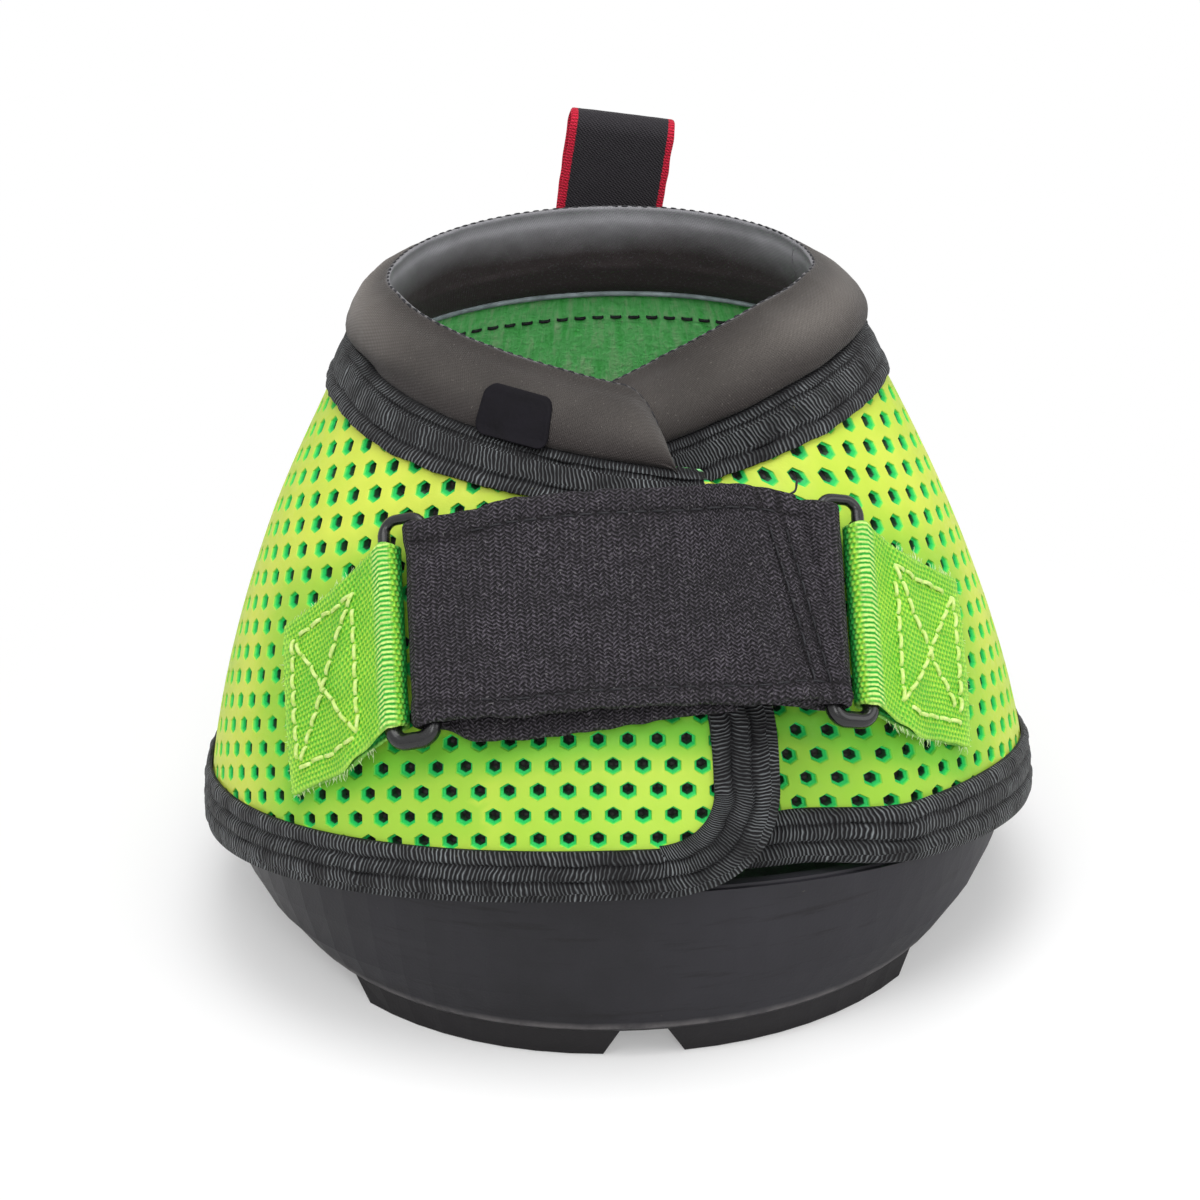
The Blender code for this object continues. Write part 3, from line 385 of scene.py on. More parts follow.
class Finish:  # a material and its nodes
    def __init__(self, name, colour, roughness, **constants):
        self.material = bpy.data.materials.new(name)
        self.material.use_nodes = True
        self.tree = self.material.node_tree
        self.shader = self.tree.nodes["Principled BSDF"]
        self.set("Base Color", self.colour(colour))
        self.set("Roughness", roughness)
        for title, value in constants.items():
            self.set(title.replace("_", " "), value)

    def set(self, title, value):
        self.plug(self.shader.inputs[title], value)

    def done(self, base, roughness, normal):
        for title, value in (("Base Color", base), ("Roughness", roughness), ("Normal", normal)):
            self.set(title, value)
        return self.material

    def plug(self, socket, value):
        if isinstance(value, Wire):
            self.tree.links.new(value.socket, socket)
        else:
            socket.default_value = value

    def node(self, kind, settings=None, inputs=None, out=0):
        made = self.tree.nodes.new(kind)
        for key, value in (settings or {}).items():
            if key == "stops":
                while len(made.color_ramp.elements) < len(value):
                    made.color_ramp.elements.new(0.5)
                for element, (spot, shade) in zip(made.color_ramp.elements, value):
                    element.position, element.color = spot, self.colour(shade)
            else:
                setattr(made, key, value)
        for key, value in (inputs or {}).items():
            self.plug(made.inputs[key], value)
        return Wire(self, made.outputs[out])

    def colour(self, value):
        return value if isinstance(value, Wire) or len(value) == 4 else (*value, 1.0)

    def mix(self, first, second, factor):
        return self.node("ShaderNodeMix", {"data_type": "RGBA"},
                         {0: factor, 6: self.colour(first), 7: self.colour(second)}, 2)

    def place(self):
        return self.node("ShaderNodeTexCoord", out=3)

    def stretched(self, scale, source=None):
        return self.node("ShaderNodeVectorMath", {"operation": "MULTIPLY"}, {0: source or self.place(), 1: scale})

    def cloth(self):
        spot = self.node("ShaderNodeUVMap", {"uv_map": "cloth"})
        return spot, self.axis(spot, 0), self.axis(spot, 1)

    def axis(self, vector, index):
        return self.node("ShaderNodeSeparateXYZ", {}, {0: vector}, index)

    def mark(self, title):
        return self.node("ShaderNodeAttribute", {"attribute_name": title}, out=2)

    def grain(self, scale, detail=2.0, rough=0.5, source=None):
        return self.node("ShaderNodeTexNoise", {}, {"Vector": source or self.place(), "Scale": scale,
                                                   "Detail": detail, "Roughness": rough})

    def ramp(self, factor, stops):
        return self.node("ShaderNodeValToRGB", {"stops": stops}, {0: factor})

    def spread(self, factor, low, high, first=0.0, last=1.0):
        return self.node("ShaderNodeMapRange", {}, {0: factor, 1: low, 2: high, 3: first, 4: last})

    def bump(self, height, depth, strength=1.0, under=None):
        inputs = {"Height": height, "Distance": depth, "Strength": strength}
        if under:
            inputs["Normal"] = under
        return self.node("ShaderNodeBump", {}, inputs)


def wave(value, pitch, shift=0.0):
    return (value * (math.tau / pitch) + shift).do("SINE") * 0.5 + 0.5


def skinFinish():
    finish = Finish("lime perforated skin", (0.50, 0.74, 0.05), 0.5, Specular_IOR_Level=0.3)
    broad, pores = finish.grain(30, 3.0, 0.6), finish.grain(2600, 2.0, 0.6)
    lime = finish.mix((0.470, 0.650, 0.050), (0.645, 0.735, 0.088), finish.spread(broad, 0.35, 0.65))
    # Darker green below the strap and beside the tabs is painted shade; the same mask also darkens the skin low at the
    # front.
    limeWithPaintedShade = finish.mix(lime, (0.125, 0.50, 0.024), finish.mark("glow"))
    depth = finish.mark("depth")
    # Hole walls turn from green to near black with depth: the green is the skin's own cut edge, the near black deeper
    # down is painted shade.
    holeWallAndShade = finish.ramp(depth, [(0.05, (0.20, 0.72, 0.07)), (0.28, (0.020, 0.60, 0.110)), (0.41, (0.002, 0.42, 0.085)),
                               (0.56, (0.014, 0.050, 0.022))])
    return finish.done(finish.mix(limeWithPaintedShade, holeWallAndShade, finish.spread(depth, 0.035, 0.10)),
                       finish.spread(finish.grain(900, 2.0), 0.3, 0.7, 0.44, 0.62),
                       finish.bump(pores, 0.00006, 0.5, finish.bump(broad, 0.0008, 0.35)))


def liningFinish():
    finish = Finish("green pile lining", (0.045, 0.40, 0.061), 0.95, Sheen_Weight=0.1, Sheen_Roughness=0.5,
                    Specular_IOR_Level=0.15)
    spot, along, up = finish.cloth()
    streak = finish.grain(1.0, 4.0, 0.65, finish.stretched((420, 90, 1), spot))
    fleck = finish.grain(700, 3.0, 0.7)
    green = finish.ramp(streak * 0.7 + fleck * 0.3, [
        (0.32, (0.10, 0.80, 0.14)), (0.5, (0.26, 0.96, 0.30)), (0.68, (0.60, 0.98, 0.52))])
    inside = finish.mark("inside")
    net = wave(along, 0.0012) * wave(up, 0.0012)
    finish.set("Base Color", finish.mix(finish.mix((0.024, 0.024, 0.022), (0.064, 0.066, 0.060), net), green, inside))
    finish.set("Normal", finish.bump(streak * 0.7 + fleck * 0.6, 0.0009, 0.8))
    return finish.material


def collarFinish():
    # Outer panel is a brownish knit with a painted highlight on its crest and painted shade lower down and at the
    # front; inner panel a smoother blue-black face with a painted blue-grey sheen near the seam, darkening to painted
    # shade further down.
    finish = Finish("grey knit collar", (0.080, 0.073, 0.068), 0.8, Sheen_Weight=0.12, Sheen_Roughness=0.4,
                    Specular_IOR_Level=0.2)
    along, up = finish.cloth()[1:]
    panel = finish.mark("panel")
    cloudy = finish.grain(32, 4.0, 0.6)
    fine = finish.grain(2100, 2.0, 0.7)
    grey = finish.mix((0.040, 0.0355, 0.033), (0.088, 0.079, 0.073), finish.spread(cloudy, 0.32, 0.68))
    rib = wave(along + up * 0.55, 0.00052)
    cross = wave(along * 0.5 - up, 0.00070)
    knit = rib * 0.65 + cross * 0.35
    grey = finish.mix(finish.mix(grey, (0.034, 0.029, 0.028), finish.mark("shade") * 0.75), (0.290, 0.262, 0.240),
                      finish.mark("lit") * 0.85)
    knitted = finish.mix(finish.mix(grey, (0.040, 0.035, 0.033), knit * 0.42), (0.22, 0.20, 0.18),
                         finish.spread(finish.grain(2600, 0.0), 0.77, 0.84) * 0.35)
    # Inner panel: a painted blue-grey sheen near the seam, fading to painted shade further down.
    low = finish.mark("low")
    innerSheenToShade = finish.spread(low + (cloudy - 0.5) * 0.7, 0.15, 0.85)
    innerPanelSheenAndShade = finish.mix((0.270, 0.268, 0.285), (0.050, 0.040, 0.041), innerSheenToShade)
    innerPanelSheenAndShade = finish.mix(innerPanelSheenAndShade, (0.26, 0.27, 0.30), finish.spread(fine, 0.55, 0.8) * 0.25)
    return finish.done(finish.mix(knitted, innerPanelSheenAndShade, panel),
                       finish.spread(fine, 0.3, 0.7, 0.74, 0.92),
                       finish.bump(knit * (1 - panel * 0.75), 0.00022, 0.7, finish.bump(cloudy, 0.0020, 0.5)))


def tapeFinish():
    finish = Finish("black ribbed tape", (0.026, 0.028, 0.033), 0.5, Specular_IOR_Level=0.3)
    along, up = finish.cloth()[1:]
    turned = (up * (1 / 0.0037)).do("FLOOR").do("MODULO", 2.0) - 0.5
    wander = finish.grain(260, 2.0, 0.6) - 0.5
    rib = wave(along + up * turned * 0.42 + wander * 0.0017, 0.00086)
    patchy = finish.grain(150, 3.0, 0.6)
    lit = finish.mix((0.0040, 0.0032, 0.0045), (0.250, 0.270, 0.280),
                     rib * rib * rib * finish.spread(patchy, 0.32, 0.70, 0.12, 1.0))
    # Darker along the stitch lines: partly the black thread, partly painted shade in the sewn grooves.
    sewn = finish.mark("sewn")
    dark = finish.mix(lit, (0.004, 0.0035, 0.005), sewn * 0.8)
    return finish.done(finish.mix(dark, (0.30, 0.30, 0.18), finish.spread(finish.grain(1500, 1.0), 0.79, 0.84) * 0.5),
                       finish.spread(rib, 0.0, 1.0, 0.8, 0.45),
                       finish.bump(rib, 0.00060, 1.0, finish.bump(patchy, 0.0008, 0.5)))


def strapFinish():
    finish = Finish("black coarse weave", (0.022, 0.020, 0.025), 0.7, Specular_IOR_Level=0.25)
    along, up = finish.cloth()[1:]
    wander = (finish.grain(200, 2.0, 0.6) - 0.5) * 0.0013
    warp = wave(along + wander, 0.00098)
    turned = ((along + wander) * (1 / 0.00098)).do("FLOOR").do("MODULO", 2.0) - 0.5
    weft = wave(up + along * turned * 1.2 + wander, 0.00072)
    weave = warp * 0.3 + weft * 0.7 + (finish.grain(1300, 3.0, 0.75) - 0.5) * 1.9
    worn = finish.grain(120, 4.0, 0.65)
    # The weave's raised threads are painted lighter, in patches: a painted highlight.
    scuffsAndPaintedHighlights = weave * weave * finish.spread(worn, 0.28, 0.72, 0.40, 1.0)
    dark = finish.mix((0.0025, 0.0020, 0.003), (0.125, 0.110, 0.134), scuffsAndPaintedHighlights)
    # Darker along the seams: painted shade in the stitch grooves.
    sewn = finish.mix(dark, (0.004, 0.003, 0.004), finish.mark("sewn") * 0.85)
    glint = finish.spread(finish.grain(2300, 0.0), 0.72, 0.80) * 0.5
    return finish.done(finish.mix(sewn, (0.22, 0.21, 0.22), glint),
                       finish.spread(worn, 0.3, 0.7, 0.60, 0.82),
                       finish.bump(weave, 0.00045, 1.0, finish.bump(finish.grain(60, 3.0), 0.0010, 0.4)))


def webbingFinish():
    finish = Finish("green woven webbing", (0.25, 0.76, 0.04), 0.6, Specular_IOR_Level=0.25)
    along, up = finish.cloth()[1:]
    wander = (finish.grain(240, 2.0, 0.6) - 0.5) * 0.0009
    weft = wave(up + wander, 0.00100)
    odd = (up * (1 / 0.00100)).do("FLOOR").do("MODULO", 2.0)
    warp = wave(along + wander, 0.00090, odd * math.pi)
    weave = weft * 0.5 + warp * 0.5
    uneven = finish.grain(110, 4.0, 0.6)
    # The weave's raised threads are painted lighter lime: a painted highlight.
    green = finish.mix((0.045, 0.46, 0.024), (0.52, 0.88, 0.075), weave * finish.spread(uneven, 0.25, 0.70, 0.6, 1.2))
    ladder = finish.mark("ladder")
    rungs = finish.spread(wave(up + wander, 0.00092), 0.20, 0.85)
    laddered = finish.mix(green, finish.mix((0.030, 0.42, 0.034), (0.66, 0.92, 0.24), rungs), ladder)
    shaded = finish.mix(laddered, (0.010, 0.30, 0.045), finish.mark("shade"))
    return finish.done(finish.mix(shaded, (0.56, 0.90, 0.16), finish.mark("pale")),
                       finish.spread(uneven, 0.3, 0.7, 0.5, 0.72),
                       finish.bump(weave, 0.00045, 1.0))


def rubberFinish():
    finish = Finish("moulded sole rubber", (0.030, 0.029, 0.034), 0.5, Specular_IOR_Level=0.25)
    broad = finish.grain(18, 4.0, 0.6)
    grain = finish.grain(1900, 2.0, 0.6)
    scuff = finish.grain(1.0, 5.0, 0.7, finish.stretched((38, 38, 420)))
    base = finish.mix((0.009, 0.0085, 0.0105), (0.027, 0.026, 0.032), finish.spread(broad, 0.3, 0.7))
    scuffsAndPaintedHighlights = finish.mix(base, (0.007, 0.006, 0.007), finish.spread(scuff, 0.56, 0.70) * 0.6)
    dust = finish.spread(finish.grain(520, 2.0, 0.7), 0.76, 0.82) * 0.4
    height = finish.axis(finish.place(), 2) + (finish.grain(90, 3.0, 0.6) - 0.5) * 0.0004
    # A thin pale line at the ledge is a painted highlight, and the rubber just below the ledge is darker: painted
    # shade.
    ledgeHighlight = finish.spread(height, 0.0060, 0.0067) * finish.spread(height, 0.0069, 0.0080, 1.0, 0.0)
    ledgeHighlightAndShade = finish.mix(finish.mix(scuffsAndPaintedHighlights, (0.012, 0.0105, 0.011), finish.spread(height, 0.0064, 0.0058) * 0.7),
                        (0.105, 0.098, 0.100), ledgeHighlight * finish.spread(finish.grain(160, 3.0, 0.7), 0.3, 0.6, 0.25, 0.9))
    return finish.done(finish.mix(ledgeHighlightAndShade, (0.16, 0.14, 0.11), dust),
                       finish.spread(broad, 0.3, 0.7, 0.42, 0.62),
                       finish.bump(grain, 0.00010, 0.5, finish.bump(broad, 0.0012, 0.3)))


def plasticFinish():
    finish = Finish("black ring plastic", (0.008, 0.008, 0.009), 0.2, Specular_IOR_Level=0.4, Coat_Weight=0.15,
                    Coat_Roughness=0.1)
    worn = finish.grain(420, 3.0, 0.6)
    finish.set("Roughness", finish.spread(worn, 0.3, 0.7, 0.14, 0.32))
    finish.set("Normal", finish.bump(worn, 0.00015, 0.3))
    return finish.material


def twillFinish():
    finish = Finish("black twill tape", (0.02, 0.018, 0.02), 0.65, Specular_IOR_Level=0.2)
    along, up = finish.cloth()[1:]
    twill = wave(along + up, 0.00072) * 0.6 + wave(along - up * 0.5, 0.00040) * 0.4
    black = finish.mix((0.004, 0.0035, 0.005), (0.040, 0.036, 0.042), twill)
    knots = wave(along, 0.00060)
    red = finish.mix((0.30, 0.004, 0.016), (0.72, 0.020, 0.060), knots)
    ragged = up.do("ABSOLUTE") + (finish.grain(1400, 2.0) - 0.5) * 0.0005
    finish.set("Base Color", finish.mix(black, red, finish.spread(ragged, 0.0086, 0.0088)))
    finish.set("Normal", finish.bump(twill, 0.00022, 0.8))
    return finish.material


def plainFinish(name, dark, light, roughness, scale, depth=0.0002, **constants):
    constants.setdefault("Specular_IOR_Level", 0.25)
    finish = Finish(name, dark, roughness, **constants)
    cloud = finish.grain(scale, 3.0, 0.6)
    return finish.done(finish.mix(dark, light, finish.spread(cloud, 0.3, 0.7)),
                       finish.spread(cloud, 0.3, 0.7, roughness - 0.08, roughness + 0.08),
                       finish.bump(finish.grain(scale * 6, 2.0, 0.6), depth, 0.6))


finishes = {
    "skin": skinFinish(), "lining": liningFinish(), "collar": collarFinish(), "tape": tapeFinish(),
    "strap": strapFinish(), "webbing": webbingFinish(), "rubber": rubberFinish(), "plastic": plasticFinish(),
    "twill": twillFinish(),
    "thread": plainFinish("pale stitch thread", (0.50, 0.72, 0.13), (0.78, 0.90, 0.36), 0.55, 900),
    "blackThread": plainFinish("black stitch thread", (0.008, 0.008, 0.010), (0.035, 0.035, 0.04), 0.6, 900),
    "fray": plainFinish("frayed thread ends", (0.55, 0.80, 0.30), (0.85, 0.95, 0.62), 0.6, 900),
    "piping": plainFinish("grey satin piping", (0.24, 0.29, 0.31), (0.50, 0.58, 0.62), 0.35, 300),
    "patch": plainFinish("blank rubber patch", (0.0035, 0.003, 0.0045), (0.009, 0.008, 0.011), 0.6, 220,
                         Specular_IOR_Level=0.07),
    "foam": plainFinish("footbed foam", (0.020, 0.020, 0.022), (0.050, 0.050, 0.054), 0.9, 320, 0.0004),
    "pile": plainFinish("hook and loop pile", (0.006, 0.006, 0.008), (0.040, 0.040, 0.045), 0.95, 900, 0.0006),
}
print("finishes made")


# Camera, floor and lamps

view = {"azimuth": -3.0, "elevation": 24.0, "distance": 0.650, "target": (0.0, 0.0025, 0.060), "roll": 1.4,
        "lens": 99.45, "shift": -13 / 1200}


def makeCamera():
    azimuth, elevation, roll = (math.radians(view[key]) for key in ("azimuth", "elevation", "roll"))
    back = Vector((math.sin(azimuth) * math.cos(elevation), -math.cos(azimuth) * math.cos(elevation),
                   math.sin(elevation)))
    right = (-back).cross(Vector((0, 0, 1))).normalized()
    up = right.cross(-back)
    tilted = right * math.cos(roll) - up * math.sin(roll)
    upright = up * math.cos(roll) + right * math.sin(roll)
    data = bpy.data.cameras.new("camera")
    data.lens, data.sensor_width, data.shift_x = view["lens"], 36, view["shift"]
    camera = bpy.data.objects.new("camera", data)
    turn = Matrix((tilted, upright, back)).transposed().to_4x4()
    camera.matrix_world = Matrix.Translation(Vector(view["target"]) + back * view["distance"]) @ turn
    bpy.context.scene.collection.objects.link(camera)
    bpy.context.scene.camera = camera


lamps = {
    "key": {"place": (-0.45, -0.62, 1.15), "size": 0.8, "power": 4.6},
    "front": {"place": (0.04, -1.05, 0.66), "size": 0.4, "power": 2.5},
    "side": {"place": (0.95, -0.45, 0.60), "size": 0.8, "power": 2.6},
    "over": {"place": (0.10, -0.10, 1.30), "size": 0.9, "power": 8.0},
}


def makeStage():
    floor = Finish("pale floor", (0.96, 0.96, 0.96), 0.9, Specular_IOR_Level=0.0)
    seenFloor = floor.node("ShaderNodeLightPath")
    reach = floor.node("ShaderNodeVectorMath", {"operation": "LENGTH"}, {0: floor.place()}, 1)
    white = floor.node("ShaderNodeEmission", {}, {"Color": (1, 1, 1, 1), "Strength": 1.0})
    blend = floor.node("ShaderNodeMixShader", {}, {0: seenFloor * floor.spread(reach, 0.080, 0.19, 0.30, 1.0),
                                                   1: Wire(floor, floor.shader.outputs[0]), 2: white})
    floor.tree.links.new(blend.socket, floor.tree.nodes["Material Output"].inputs["Surface"])
    mesh = bpy.data.meshes.new("floor")
    wide = 3.0
    mesh.from_pydata([(-wide, -wide, 0), (wide, -wide, 0), (wide, wide, 0), (-wide, wide, 0)], [],
                     [(0, 1, 2, 3)])
    mesh.materials.append(floor.material)
    plane = bpy.data.objects.new("floor", mesh)
    plane.location.z = -0.0002
    bpy.context.scene.collection.objects.link(plane)
    for name, lamp in lamps.items():
        data = bpy.data.lights.new(name, "AREA")
        data.shape, data.size, data.energy = "DISK", lamp["size"], lamp["power"]
        light = bpy.data.objects.new(name, data)
        light.location = lamp["place"]
        light.rotation_euler = (Vector((0, 0, 0.05)) - light.location).to_track_quat("-Z", "Y").to_euler()
        bpy.context.scene.collection.objects.link(light)
    world = bpy.data.worlds.new("studio")
    world.use_nodes = True
    bpy.context.scene.world = world
    tree = world.node_tree
    path = tree.nodes.new("ShaderNodeLightPath")
    seen = tree.nodes.new("ShaderNodeMath")
    seen.operation = "MAXIMUM"
    tree.links.new(path.outputs["Is Camera Ray"], seen.inputs[0])
    tree.links.new(path.outputs["Is Glossy Ray"], seen.inputs[1])
    strength = tree.nodes.new("ShaderNodeMapRange")
    strength.inputs[3].default_value, strength.inputs[4].default_value = 0.42, 1.0
    tree.links.new(seen.outputs[0], strength.inputs[0])
    tree.links.new(strength.outputs[0], tree.nodes["Background"].inputs["Strength"])
    tree.nodes["Background"].inputs["Color"].default_value = (1, 1, 1, 1)
    bpy.context.scene.view_settings.view_transform = "Standard"


makeCamera()
makeStage()
print("stage made")


# The outer run goes from the right rear round the heel to the outer flap's free edge; bendOuter and bendInner only bake
# each piece's transform

def bendOuter(piece):
    foot, across = hingePlane(-1)
    foot - across * 0.008
    foot + across * 0.008
    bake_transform(piece)


def bendInner(piece):
    foot, across = hingePlane(1)
    foot - across * 0.008
    foot + across * 0.008
    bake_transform(piece)


# Distance from the boot's middle line that turns the rear seam's gap into an angle
radii = {"sheet": 0.08, "band": 0.055, "collar": 0.05}


def rearEnds(row):
    # Where the outer run starts and the inner one ends, each half a gap off the rear seam.
    turn = boot["seamHalf"] / radii[row]
    return boot["rearSeam"] - math.tau + turn, boot["rearSeam"] - turn


outerStart, innerEnd = rearEnds("sheet")


# Perforated skin

skin = {"pitch": 0.0054, "row": 0.00468, "outerTurn": math.radians(-8), "innerTurn": math.radians(28), "slant": 0.0935,
        "lines": (-0.26, 0.30), "half": 0.30, "slack": 0.15, "endSlack": 0.12, "topGap": 0.012, "sharp": 38,
        "nearest": 0.02, "flats": 0.866,
        "hole": ((0.00182, 0.0), (0.00172, 0.00014), (0.00158, 0.00066), (0.00116, 0.00078), (0.00108, 0.0020))}
hexagon = [(0, 1), (-1, 0.5), (-1, -0.5), (0, -1), (1, -0.5), (1, 0.5)]
coneShare = math.sin(math.atan2(girth(0) - boot["ringSide"], skin["slant"]))
topReach = slant(math.pi / 2) * boot["ringSide"] / (girth(0) - boot["ringSide"])


# The strap's line, as the painted shade below it follows it
strapShadeLine = {"height": 0.595, "drop": 0.0046, "reach": 0.0383}


def paintedGreenShadeAt(angle, share):
    # Painted shade: darker green below the strap and beside the tabs, and darker green low at the front.
    along = angle * girth(share)
    up = (share - strapShadeLine["height"]) * slant(0) + strapShadeLine["drop"] * (along / strapShadeLine["reach"]) ** 2
    below = smooth((-up - 0.016) / 0.004) * smooth((0.034 + up) / 0.011)
    inside = smooth((0.084 - abs(along)) / 0.016)
    beside = smooth((0.090 - abs(along)) / 0.016) * smooth((0.036 - abs(up + 0.012)) / 0.012) * 0.55
    front = 0.40 * smooth((math.cos(angle) - 0.80) / 0.18) * smooth((0.42 - share) / 0.20)
    return min(1.0, max(below * inside * 0.9, beside if abs(along) > 0.03 else 0, front))


def skinPiece(name, surface, turn, start, end, top, wide, hem):
    pitch, row = skin["pitch"], skin["row"]
    points, marks, faces, glow = [], [], [], []
    shared = {}

    def unrolled(x, y):
        reach = math.hypot(x, topReach - y)
        angle = turn + math.atan2(x, topReach - y) / coneShare
        return angle, 1 - (reach - topReach) / slant(angle)

    def inside(angle, share):
        return hem(angle) <= share <= top(angle) and start <= angle <= end(share)

    def held(angle, share):
        angle = min(max(angle, start), end(clamped(share)))
        return angle, min(max(share, hem(angle)), top(angle))

    def add(angle, share, depth):
        points.append(surface(angle, share, -depth))
        marks.append(min(depth / boot["skin"], 1.0))
        # Painted shade mark: darker green below the strap and beside the tabs.
        glow.append(paintedGreenShadeAt(angle, share))
        return len(points) - 1

    def corner(x, y):
        key = (round(x * 1e6), round(y * 1e6))
        if key not in shared:
            spot = held(*unrolled(x, y))
            shared[key] = (add(*spot, 0), add(*spot, boot["skin"]))
        return shared[key]

    edges = {}
    holes = 0
    slack, beyond = skin["slack"], skin["endSlack"]
    across = int(skin["half"] / pitch)
    for line in range(*(int(end / row) for end in skin["lines"])):
        for step in range(-across, across):
            x = (step + 0.5 * (line % 2)) * pitch
            y = -line * row
            if topReach - y <= skin["nearest"]:
                continue
            angle, share = unrolled(x, y)
            if not (start - slack < angle < wide + slack and -beyond < share < 1 + beyond):
                continue
            ring = [(x + side * pitch / 2, y + along * row * 2 / 3) for side, along in hexagon]
            kept = [inside(*unrolled(*spot)) for spot in ring]
            if not any(kept) and not inside(angle, share):
                continue
            corners = [corner(*spot) for spot in ring]
            if all(kept):
                holes += 1
                loops = []
                for radius, depth in skin["hole"]:
                    spots = [held(*unrolled(x + side * radius * skin["flats"], y + along * radius))
                             for side, along in hexagon]
                    loops.append([add(*spot, depth) for spot in spots])
                outer, inner = [pair[0] for pair in corners], [pair[1] for pair in corners]
                for low, high in zip([outer] + loops, loops + [inner]):
                    faces += bridged(low, high)
            else:
                faces.append(tuple(pair[0] for pair in corners))
                faces.append(tuple(pair[1] for pair in corners)[::-1])
            for side in range(6):
                first, second = corners[side], corners[(side + 1) % 6]
                if (second, first) in edges:
                    del edges[(second, first)]
                else:
                    edges[(first, second)] = True
    for first, second in edges:
        faces.append((first[0], first[1], second[1], second[0]))
    piece = makePiece(name, points, faces, finishes["skin"], None, {"depth": marks, "glow": glow}, skin["sharp"])
    fixFaces(piece)
    piece.data.set_sharp_from_angle(angle=math.radians(skin["sharp"]))
    print(name, "holes", holes)
    return piece


outerSkin = skinPiece("outer_skin", outerCone, skin["outerTurn"], outerStart, flapEdge,
                      lambda angle: topShare(-1, angle) - skin["topGap"], boot["flapEdge"], lambda angle: 0.0)
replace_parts(outerSkin, "heel_skin", "outer_flap_skin")
bendOuter(outerSkin)
innerSkin = skinPiece("inner_skin", innerCone, skin["innerTurn"], boot["hiddenEdge"],
                      lambda share: innerEnd,
                      lambda angle: topShare(1, angle) - skin["topGap"], boot["rearSeam"], innerLow)
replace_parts(innerSkin, "inner_flap_skin", "heel_skin")
bendInner(innerSkin)


# Lining

lining = {"across": 0.0022, "rows": 44, "girth": 0.075, "least": 30, "mapGirth": 0.066, "rough": 0.00030}


def liningPiece(name, surface, start, end, low=lambda angle: 0.0):
    points, spots, marks, faces, rows = [], [], [], [], lining["rows"]
    wide = max(int((boot["flapEdge"] - start) * lining["girth"] / lining["across"]), lining["least"])
    outside, inside = -boot["skin"] - boot["gap"], -layers
    for column in range(wide + 1):
        for row in range(rows + 1):
            share = row / rows
            angle = start + (end(share) - start) * column / wide
            share = low(angle) + (1 - low(angle)) * share
            for depth, mark in ((outside, 0.0), (inside, 1.0)):
                rough = ripple(lining["rough"], angle * 30, share * 26, 3.1) if mark else 0
                points.append(surface(angle, share, depth + rough))
                spots.append((angle * lining["mapGirth"], share * slant(angle)))
                marks.append(mark)

    def at(column, row, side):
        return (column * (rows + 1) + row) * 2 + side

    for column in range(wide):
        for row in range(rows):
            for side in (0, 1):
                faces.append((at(column, row, side), at(column + 1, row, side), at(column + 1, row + 1, side),
                              at(column, row + 1, side)))
        for row in (0, rows):
            faces.append((at(column, row, 0), at(column, row, 1), at(column + 1, row, 1), at(column + 1, row, 0)))
    for column in (0, wide):
        for row in range(rows):
            faces.append((at(column, row, 0), at(column, row + 1, 0), at(column, row + 1, 1), at(column, row, 1)))
    piece = makePiece(name, points, faces, finishes["lining"], spots, {"inside": marks}, 40)
    fixFaces(piece)
    return piece


outerLining = liningPiece("outer_lining", outerPoint, outerStart, flapEdge)
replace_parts(outerLining, "heel_lining", "outer_flap_lining")
bendOuter(outerLining)
innerLining = liningPiece("inner_lining", innerPoint, boot["hiddenEdge"], lambda share: innerEnd, innerLow)
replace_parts(innerLining, "inner_flap_lining", "heel_lining")
bendInner(innerLining)
print("skins and linings made")


# Collar: padded roll of knit

collarSize = {"height": 0.0125, "bulge": 0.0018, "lopsided": 0.0008, "padding": 0.0024, "skirt": 0.0064,
              "tip": math.radians(13.4), "tipLength": 0.0088, "tipPower": 2.3, "straightLift": 0.0010,
              "outer": ((0.01, -0.6), (0.15, 0.6), (0.38, 1.0), (0.64, 0.62), (0.86, -0.5), (0.985, -2.15)),
              "inner": ((-0.34, 0.92), (0.06, 1.0), (0.40, 1.0), (0.66, 0.90), (0.86, 0.68), (0.99, 0.34)),
              "steps": 240, "stepTurn": 4.6, "mapGirth": 0.050, "fine": 7, "seam": 39, "groove": 0.0007,
              "piping": 0.0008, "sewnLine": 0.0134, "creaseWidth": 0.0006, "ridge": (0.00022, 0.0019, 0.0010),
              "seamStitch": (0.0015, 0.0005, 0.00022), "lineStitch": (0.0023, 0.0014, 0.00036)}


def bulgeAt(angle):
    # Fuller on the right, flatter at the heel.
    return collarSize["bulge"] + collarSize["lopsided"] * (math.sin(angle) - max(-math.cos(angle), 0) ** 4)


